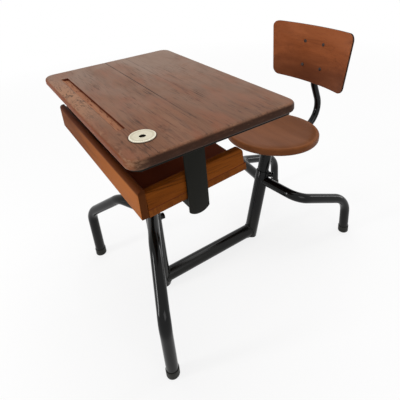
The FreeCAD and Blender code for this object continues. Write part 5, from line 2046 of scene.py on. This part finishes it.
@dataclass
class DeskTube:
    """The inner tube of the desk post and its weld under the channel."""

    outer: float = 0.0421

    def build(self) -> None:
        """Make the tube, and the weld under the channel."""
        low, high = extent("desk_inner_tube")
        radius, ease, end = self.outer / 2, 1 * MM, high[2] - 0.5 * MM
        profile = outlined((0.0, low[2]), (radius - ease, low[2]), (radius, low[2] + ease),
                           (radius, end), (0.0, end))
        shell = LAYOUT.desk_post.carried(turned(profile, 80))
        dress("desk_post_tube", shell, Finish.GLOSS, Body.TOP, "desk_inner_tube")
        bead = bead_under(LAYOUT.desk_post, radius, LAYOUT.tray, -Carrier.channel_wall)
        dress("desk_tube_weld", bead, Finish.GLOSS, Body.TOP)


def ring_under(post: Place, radius: float, plate: Place, level: float, around: int) -> Array:
    """Seam of a post under a tilted plate.

    Each line of the post runs along its axis to the plane of the plate's underside.

    Args:
        post: The post's place.
        radius: Radius of the post.
        plate: The plate's place.
        level: Height of the underside in the plate's place.
        around: Points of the seam.

    Returns:
        Points of the seam.
    """
    starts, axis = post.world(hoop(radius, 0.0, around)), post.turned(Z_AXIS)
    normal = plate.turned(Z_AXIS)
    target = plate.world(Z_AXIS * level)
    return starts + ((target - starts) @ normal / (axis @ normal))[:, None] * axis


def bead_under(post: Place, radius: float, plate: Place, level: float) -> Shell:
    """Weld of a post under a tilted plate, leaning outwards and down."""
    seam = ring_under(post, radius, plate, level, 120)
    return bead_along(seam, unit(seam - seam.mean(0)) - 0.4 * Z_AXIS, 2.0 * MM, 3 * MM)


# ------------------------------------------------------------------ book tray

@dataclass
class BookTray:
    """An open tray: an upright front board, two sides and a bottom board."""

    width: float = 0.604
    board: float = 0.017
    floor: float = 0.0195
    side_height: float = 0.045
    side_round: float = 0.014
    rear: float = 0.137
    lip: float = 0.006
    ease: float = 1.3 * MM
    crest: float = 0.010
    inner_crest: float = 4.5 * MM

    def build(self) -> None:
        """Make the four boards."""
        low, high = extent("tray_front_board")
        corners = [(low[1], low[2]), (high[1], low[2]), (high[1], high[2]), (low[1], high[2])]
        outline = rounded(corners, [1.6 * MM, 1.2 * MM, self.inner_crest, self.crest], 8)
        front = plank(outline, low[0], high[0], self.ease, 0, stations=40)
        self._waved(front)
        dress("tray_front", front, Finish.TRAY, Body.TOP, "tray_front_board")

        behind, crest = high[1] - LAYOUT.desk_y, self.floor + self.side_height
        lean, buried = math.radians(LAYOUT.tray_tilt), 0.2 * MM
        start = [(behind + level * math.sin(lean)) / math.cos(lean) for level in (0, self.floor, crest)]
        floor_rear = self.rear + self.lip
        corners = [(start[0], 0.0), (floor_rear, 0.0), (floor_rear, self.floor), (start[1], self.floor)]
        outline = rounded(corners, [buried, 2 * MM, 2 * MM, buried], 5)
        half = self.width / 2
        shell = LAYOUT.tray.carried(plank(outline, -half, half, self.ease, 0, stations=24))
        dress("tray_bottom", shell, Finish.TRAY_FLOOR, Body.TOP, "tray_bottom_board")

        corners = [(start[1], self.floor), (self.rear, self.floor), (self.rear, crest), (start[2], crest)]
        outline = rounded(corners, [buried, 1.2 * MM, self.side_round, buried], 10)
        for side in Side:
            inner = half - self.board if side is Side.LEFT else -half
            shell = LAYOUT.tray.carried(plank(outline, inner, inner + self.board, self.ease, 0))
            dress(f"tray_end_{side.label}", shell, Finish.TRAY_SIDE, Body.TOP, f"tray_side_{side.label}")

    def _waved(self, shell: Shell) -> None:
        """Give the front board's crest a slow hand-planed wave, always inwards.

        Args:
            shell: The board, which changes.
        """
        points = shell.blocks[0]
        top = points[:, 2].max()
        share = np.clip((points[:, 2] - top + 0.012) / 0.012, 0, 1)
        points[:, 2] -= 0.35 * MM * share * (1 + np.sin(points[:, 0] * 29 + 0.6)) / 2


# ------------------------------------------------------------------ stool

@dataclass
class Seat:
    """The dished round seat on its plate and stem."""

    radius: float = 0.1655
    thick: float = 0.027
    top_round: float = 6.0 * MM
    under_round: float = 11.0 * MM
    dish: float = 0.140
    dish_depth: float = 7.0 * MM
    soft: float = 0.10
    plate: float = 0.065
    plate_thick: float = 4.0 * MM
    stem: float = 0.0421
    stem_start: float = 0.065
    screw_spread: float = 0.0707

    def build(self) -> None:
        """Make the seat, its plate, stem, weld and screws."""
        seat = LAYOUT.seat.carried(turned(self._profile(), 144))
        dress("round_seat", seat, Finish.SEAT, Body.STOOL, "seat_disc", sharp=60)

        top = -self.thick
        under, ease = top - self.plate_thick, 1 * MM
        profile = outlined((0.0, under), arc((self.plate - ease, under + ease), ease, -90, 0, 4),
                           arc((self.plate - ease, top - ease), ease, 0, 90, 4), (0.0, top))
        dress("seat_steel_plate", LAYOUT.seat.carried(turned(profile, 96)), Finish.SATIN,
              Body.STOOL, "seat_plate")
        self._stem(under)

        half = self.screw_spread / 2
        spots = [((x * half, y * half, under), -Z_AXIS, 70 * x + 33 * y)
                 for x, y in ((1, 1), (-1, 1), (-1, -1), (1, -1))]
        dress("seat_wood_screws", LAYOUT.seat.carried(fixed(WOOD_SCREW, spots)), Finish.SCREW,
              Body.STOOL, "seat_screws", sharp=40)

    def _profile(self) -> Array:
        """Radius and height from the middle of the top to the middle of the underside.

        The hollow's depth is that of a paraboloid q = 1 - (r / dish)^2, of which
        (q + sqrt(q^2 + s^2)) / 2 keeps the positive part with a soft crest.

        Returns:
            Points of radius and height.
        """
        radii = np.linspace(0, self.radius - self.top_round, 26)
        q = 1 - (radii / self.dish) ** 2
        hollow = self.dish_depth * (q + np.sqrt(q ** 2 + self.soft ** 2)) / 2
        hollow *= self.dish_depth / hollow[0]
        top = np.stack((radii, -hollow), 1)
        start = -hollow[-1]
        rim = arc((self.radius - self.top_round, start - self.top_round), self.top_round, 90, 0, 9)
        under = arc((self.radius - self.under_round, -self.thick + self.under_round),
                    self.under_round, 0, -90, 10)
        return outlined(top[:-1], rim, under, (0.0, -self.thick))

    def _stem(self, under: float) -> None:
        """The inner tube of the stool post and its weld under the plate.

        Args:
            under: Level of the seat plate's underside, in the seat's own place.
        """
        radius, post = self.stem / 2, LAYOUT.seat_post
        bottom = post.world(hoop(radius, self.stem_start, 80))
        top = ring_under(post, radius, LAYOUT.seat, under, 80)
        share = np.linspace(0, 1, 9)[:, None, None]
        shell = Shell().sleeve(bottom * (1 - share) + top * share)
        dress("stool_stem", shell.flat(bottom).flat(top), Finish.GLOSS, Body.STOOL, "seat_stem")
        bead = bead_under(post, radius, LAYOUT.seat, under)
        dress("stem_weld", bead, Finish.GLOSS, Body.STOOL)


@dataclass
class BackTube:
    """The bent tube from the stem up behind the back, open at its top."""

    outer: float = 0.025
    wall: float = 2.0 * MM
    corner: float = 0.270
    knee: float = 0.1244
    top: float = 0.0792
    bends: Pair = (0.088, 0.060)
    plug: float = 0.02
    step: float = 0.010
    flatten: float = 0.07
    behind: float = 0.0245
    under: float = -0.0435
    stem: float = 0.0421

    def build(self) -> None:
        """Make the tube and its weld on the stem."""
        corners = self._corners()
        direction = unit(corners[1] - corners[0])
        post = Cylinder(np.array(LAYOUT.seat_post.origin), LAYOUT.seat_post.turned(Z_AXIS), self.stem / 2)
        line = bent_line(corners, self.bends, self.step)
        skin = tube_skin(line, self.outer / 2, X_AXIS, 48, self.flatten)
        skin = coped_start(skin, direction, post, 1.5 * MM)
        axis, centre = line.tangents[-1], line.centres[-1]
        spokes = unit(skin[-1] - centre)
        outer, inner = self.outer / 2, self.outer / 2 - self.wall
        ease = 0.6 * MM
        rim = [(outer - ease, 0.0), (inner + ease, 0.0), (inner, -ease), (inner, -0.03)]
        edge = np.stack([centre + radius * spokes + depth * axis for radius, depth in rim])
        last = centre + outer * spokes - ease * axis
        skin = np.concatenate((skin[:-1], last[None], edge))
        shell = Shell().sleeve(skin).flat(skin[-1])
        shell.cone(skin[0], 0.3, direction * self.plug)
        dress("bent_back_tube", shell, Finish.GLOSS, Body.STOOL, "back_tube")
        reach = float(post.leaving(corners[:1], direction, post.radius)[0])
        bead = weld_bead(corners[0] + reach * direction, direction, self.outer / 2, post,
                         1.8 * MM, around=140)
        dress("back_tube_weld", bead, Finish.GLOSS, Body.STOOL)

    def _corners(self) -> Array:
        """Corner points in the middle plane: along under the seat, then up the back.

        Returns:
            Four points of the tube's middle line.
        """
        seat, back = np.array(LAYOUT.seat.origin), np.array(LAYOUT.back.origin)
        tilt, lean = math.radians(LAYOUT.seat_tilt), math.radians(LAYOUT.back_lean)

        def run(y: float) -> Array:
            """A point of the lower run, under the seat plate."""
            return np.array((0.0, seat[1] + y,
                             seat[2] + (self.under - y * math.sin(tilt)) / math.cos(tilt)))

        def rise(z: float) -> Array:
            """A point of the upper run, behind the back."""
            return np.array((0.0, back[1] + self.behind / math.cos(lean)
                             + (z - back[2]) * math.tan(lean), z))

        return np.stack((run(0.0), run(self.corner), rise(seat[2] + self.knee), rise(back[2] + self.top)))


@dataclass
class CurvedBack:
    """Curved plywood on two steel straps, held by four screws and nuts."""

    radius: float = 0.480
    thick: float = 9.0 * MM
    top_width: float = 0.371
    foot_width: float = 0.331
    height: float = 0.203
    corner: float = 0.024
    edge: float = 1.6 * MM
    plies: int = 7
    pitch: float = 0.008
    strap: Triple = (0.112, 0.026, 3.0 * MM)
    spread: float = 0.043
    screw_x: float = 0.042
    screw: SlottedScrew = SlottedScrew(12 * MM, 2.5 * MM, 6 * MM, 18.9 * MM, 1.6 * MM, 1.1 * MM)
    nut: HexHead = HexHead(10 * MM, 5 * MM, 6 * MM)

    def build(self) -> None:
        """Make the plywood, straps, screws and nuts."""
        self._plywood()
        for name, sign in (("upper", 1), ("lower", -1)):
            self._strap(name, sign * self.spread)
        self._fasteners()

    def bent(self, flat: Array) -> Array:
        """Carry x, depth and z onto the curve: y is sqrt((R + depth)^2 - x^2) - R."""
        x, depth, z = np.moveaxis(flat, -1, 0)
        y = np.sqrt((self.radius + depth) ** 2 - x ** 2) - self.radius
        return LAYOUT.back.world(np.stack((x, y, z), axis=-1))

    def _plywood(self) -> None:
        """The sheet: two faces on one grid and a rim with its plies in low relief."""
        half_x, half_z = (self.top_width + self.foot_width) / 4, self.height / 2
        lines = [spaced(-half, half, self.edge, self.corner, self.pitch, (5, 9))
                 for half in (half_x, half_z)]
        x, z = np.meshgrid(*lines, indexing="ij")
        side_x, side_z = half_x - np.abs(x), half_z - np.abs(z)
        fall = eased(np.minimum(side_x, side_z), self.edge)
        block, along_x, along_z = corner_arcs(side_x, side_z, self.corner)
        x = np.where(block, np.sign(x) * (half_x - self.corner + along_x), x)
        z = np.where(block, np.sign(z) * (half_z - self.corner + along_z), z)
        taper = 1 + z / half_z * (self.top_width - self.foot_width) / (4 * half_x)
        front = np.stack((x * taper, fall, z), -1)
        rear = np.stack((x * taper, self.thick - fall, z), -1)
        whole = [(0, len(line) - 1) for line in lines]
        ring = frame_of(front, *whole)
        tangent = unit((np.roll(ring, -1, 0) - np.roll(ring, 1, 0))[:, (0, 2)])
        outward = np.stack((tangent[:, 1], -tangent[:, 0]), 1)
        outward *= np.sign(np.sum(outward * ring[:, (0, 2)], 1, keepdims=True))
        depths = np.linspace(self.edge, self.thick - self.edge, 4 * self.plies + 1)
        relief = -0.10 * MM * (1 - np.cos(TURN * self.plies * np.linspace(0, 1, len(depths))))
        rows = [ring]
        for depth, step in zip(depths[1:-1], relief[1:-1]):
            row = ring.copy()
            row[:, (0, 2)] += outward * step
            row[:, 1] = depth
            rows.append(row)
        rows.append(frame_of(rear, *whole))
        shell = Shell()
        for sheet, around in ((front, False), (rear, False), (np.stack(rows), True)):
            shell.grid(self.bent(sheet), round_columns=around)
        piece = dress("curved_back", shell, Finish.BACK, Body.STOOL, "backrest", sharp=50)
        self._mark_edge(piece)

    def _mark_edge(self, piece: bpy.types.Object) -> None:
        """Store how deep each point lies in the sheet and whether it is on the rim.

        Args:
            piece: The plywood.
        """
        mesh = piece.data
        points = np.zeros(len(mesh.vertices) * 3)
        mesh.vertices.foreach_get("co", points)
        place = LAYOUT.back
        local = Place((0, 0, 0), -place.tilt).turned(points.reshape(-1, 3) - np.array(place.origin))
        depth = np.hypot(local[:, 0], local[:, 1] + self.radius) - self.radius
        share = np.clip(depth / self.thick, 0, 1)
        rim = (depth > 0.3 * self.edge) & (depth < self.thick - 0.3 * self.edge)
        for name, values in (("ply_depth", share), ("ply_edge", rim.astype(float))):
            attribute = mesh.attributes.new(name, "FLOAT", "POINT")
            attribute.data.foreach_set("value", values.astype(np.float32))

    def _strap(self, name: str, level: float) -> None:
        """A curved strip behind the plywood with rounded ends.

        Args:
            name: Last word of the strap's name.
            level: Height of its middle line.
        """
        width, height, thick = self.strap
        ease, ends = 0.6 * MM, 5 * MM
        outline = rounded([(-width / 2, -height / 2), (width / 2, -height / 2),
                           (width / 2, height / 2), (-width / 2, height / 2)], [ends] * 4, 7)
        steps = []
        for start, end in zip(outline, np.roll(outline, -1, 0)):
            share = np.linspace(0, 1, 12, endpoint=False)[:, None]
            far = np.linalg.norm(end - start) > 0.02
            steps.append(start + (end - start) * (share if far else share[:1]))
        outline = np.concatenate(steps)
        rows = [(inset(outline, ease * (1 - math.sin(angle))), ease * (1 - math.cos(angle)))
                for angle in np.linspace(0, math.pi / 2, 4)]
        rows += [(row, thick - depth) for row, depth in reversed(rows)]
        rings = np.stack([np.stack((row[:, 0], np.full(len(row), self.thick + depth), row[:, 1] + level),
                                   1) for row, depth in rows])
        shell = Shell().sleeve(self.bent(rings))
        for ring in (rings[0], rings[-1]):
            shell.grid(self._web(ring, level))
        dress(f"back_strap_bar_{name}", shell, Finish.SATIN, Body.STOOL, f"back_strap_{name}")

    def _web(self, ring: Array, level: float) -> Array:
        """Close a ring of the strap with chords from its lower to its upper half.

        Args:
            ring: Closed ring of points.
            level: Height of the strap's middle line.

        Returns:
            A grid of points, bent with the back.
        """
        start = int(np.argmin(ring[:, 0] + 1e-3 * np.abs(ring[:, 2] - level)))
        ordered = np.roll(ring, -start, 0)
        half = len(ordered) // 2
        lower, upper = ordered[:half + 1], np.concatenate((ordered[:1], ordered[:half - 1:-1]))
        share = np.linspace(0, 1, 5)[:, None, None]
        return self.bent(lower * (1 - share) + upper[:len(lower)] * share)

    def _fasteners(self) -> None:
        """Four slotted screws square to the curve, and their nuts behind the straps."""
        screws, nuts = [], []
        gap = 0.1 * MM
        for side in Side:
            angle = math.asin(side.value * self.screw_x / self.radius)
            spoke = np.array((math.sin(angle), math.cos(angle), 0.0))
            outward, inward = LAYOUT.back.turned(spoke), LAYOUT.back.turned(-spoke)
            for sign in (-1, 1):
                hub = np.array((0.0, -self.radius, sign * self.spread))
                depths = (self.radius - gap, self.radius + self.thick + self.strap[2] + gap)
                front, behind = (LAYOUT.back.world(hub + spoke * depth) for depth in depths)
                screws.append((front, inward, 35 * sign + 50 * side.value))
                nuts.append((behind, outward, 17 * sign))
        dress("back_slotted_screws", fixed(self.screw, screws), Finish.DARK_SCREW, Body.STOOL,
              "back_screws", sharp=40)
        dress("back_hex_nuts", fixed(self.nut, nuts), Finish.SCREW, Body.STOOL, "back_nuts", sharp=28)


# ------------------------------------------------------------------ studio

@dataclass(frozen=True)
class Softbox:
    """A rectangular lamp that looks at a point."""

    name: str
    place: Triple
    target: Triple
    size: Pair
    power: float

    def build(self) -> None:
        """Put the lamp into the scene."""
        data = bpy.data.lights.new(self.name, "AREA")
        data.shape = "RECTANGLE"
        data.size, data.size_y = self.size
        data.energy = self.power
        put(data, basis(np.array(self.place) - np.array(self.target)), self.place)


def put(data: bpy.types.ID, rows: Array, place: Triple) -> bpy.types.Object:
    """Put a lamp or a camera at a place, with its own axes along three rows.

    Args:
        data: Data of the lamp or camera.
        rows: Its own X, Y and Z axes.
        place: Where it stands.

    Returns:
        The new object.
    """
    thing = bpy.data.objects.new(data.name, data)
    bpy.context.scene.collection.objects.link(thing)
    matrix = Matrix([list(row) for row in rows.T]).to_4x4()
    matrix.translation = place
    thing.matrix_world = matrix
    return thing


@dataclass
class Studio:
    """A plain pale floor, soft light and the camera."""

    camera_place: Triple = (0.94821, -0.63780, 1.07468)
    yaw: float = 56.857
    pitch: float = -25.122
    roll: float = -3.915
    focal: float = 392.17
    image: float = 400.0
    principal: Pair = (219.86, 118.28)
    sensor: float = 36.0
    floor_size: float = 60.0
    floor_colour: float = 0.92
    floor_glow: Pair = (0.8, 1.0)
    floor_fade: Pair = (1.1, 3.2)
    sky: float = 0.5
    softboxes: tuple[Softbox, ...] = (
        Softbox("window", (-0.5, -2.8, 1.0), (0, -0.1, 0.4), (0.42, 1.5), 34.0),
        Softbox("rear_window", (0.7, 3.0, 0.9), (0, 0.1, 0.4), (0.35, 1.4), 13.0),
        Softbox("side_fill", (2.7, -0.2, 1.8), (0, 0, 0.4), (1.3, 1.6), 15.0),
        Softbox("overhead", (-0.5, 0.3, 3.0), (0, 0, 0.4), (2.4, 2.0), 36.0),
    )

    def build(self) -> None:
        """Make the floor, the light and the camera."""
        self._floor()
        self._sky()
        for softbox in self.softboxes:
            softbox.build()
        self._camera()
        bpy.context.scene.view_settings.view_transform = "Standard"

    def _seen(self, tree: Tree) -> Socket:
        """One for camera, glossy and transmission rays, zero for the rest."""
        rays = tree.node("LightPath").outputs
        return tree.largest(*(rays[f"Is {kind} Ray"] for kind in ("Camera", "Glossy", "Transmission")))

    def _floor(self) -> None:
        """A large pale sheet that keeps the object's shadow."""
        half = self.floor_size / 2
        mesh = bpy.data.meshes.new("studio_floor")
        mesh.from_pydata([(-half, -half, 0), (half, -half, 0), (half, half, 0), (-half, half, 0)],
                         [], [(0, 1, 2, 3)])
        floor = bpy.data.objects.new("studio_floor", mesh)
        bpy.context.scene.collection.objects.link(floor)
        material = bpy.data.materials.new("pale_floor")
        material.use_nodes = True
        material.node_tree.nodes.clear()
        tree = Tree(material.node_tree)
        diffuse = tree.node("BsdfDiffuse", Color=(self.floor_colour,) * 3)
        glow = tree.node("Emission", Strength=1.0)
        away = tree.node("VectorMath", tree.node("TexCoord").outputs["Object"])
        away.operation = "LENGTH"
        level = tree.node("MapRange", away.outputs["Value"], *self.floor_fade, *self.floor_glow)
        share = tree.times(self._seen(tree), level.outputs["Result"])
        blend = tree.node("MixShader", share, diffuse.outputs[0], glow.outputs[0])
        tree.node("OutputMaterial", blend.outputs[0])
        mesh.materials.append(material)

    def _sky(self) -> None:
        """White where it is seen or mirrored, and a soft level light otherwise."""
        world = bpy.data.worlds.new("studio")
        bpy.context.scene.world = world
        world.use_nodes = True
        tree = Tree(world.node_tree)
        level = tree.node("MapRange", self._seen(tree), 0.0, 1.0, self.sky, 1.0)
        shade = tree.tree.nodes["Background"]
        tree.wire((1.0, 1.0, 1.0), shade.inputs["Color"])
        tree.wire(level.outputs["Result"], shade.inputs["Strength"])

    def _camera(self) -> None:
        """The camera: yaw from +Y towards -X, pitch up, roll about the view."""
        yaw, pitch, roll = (math.radians(a) for a in (self.yaw, self.pitch, self.roll))
        forward = np.array((-math.sin(yaw) * math.cos(pitch), math.cos(yaw) * math.cos(pitch),
                            math.sin(pitch)))
        right = unit(np.cross(forward, Z_AXIS))
        up = np.cross(right, forward)
        rolled = right * math.cos(roll) + up * math.sin(roll)
        top = up * math.cos(roll) - right * math.sin(roll)
        data = bpy.data.cameras.new("camera")
        data.sensor_width = self.sensor
        data.lens = self.focal / self.image * self.sensor
        data.shift_x = 0.5 - self.principal[0] / self.image
        data.shift_y = self.principal[1] / self.image - 0.5
        rows = np.stack((rolled, top, -forward))
        bpy.context.scene.camera = put(data, rows, self.camera_place)


# ------------------------------------------------------------------ the whole

def dress_plain_nodes() -> None:
    """Give the CAD nodes that stay as they are their finish."""
    for node in ("desk_sleeve_plug", "seat_sleeve_plug"):
        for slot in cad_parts[node].material_slots:
            slot.material = Finish.RUBBER.material
        LOG.info("%s: dressed as it is", node)


def write_sizes() -> None:
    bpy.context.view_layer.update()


def main() -> None:
    """Build every sub-assembly in order."""
    logging.basicConfig(level=logging.INFO, format="%(name)s %(message)s")
    for part in (BentFrame(), GluedTop(), Inkwell(), Carrier(), DeskTube(), BookTray(), Seat(),
                 BackTube(), CurvedBack()):
        part.build()
    dress_plain_nodes()
    Studio().build()
    write_sizes()


if __name__ == "__main__":
    main()
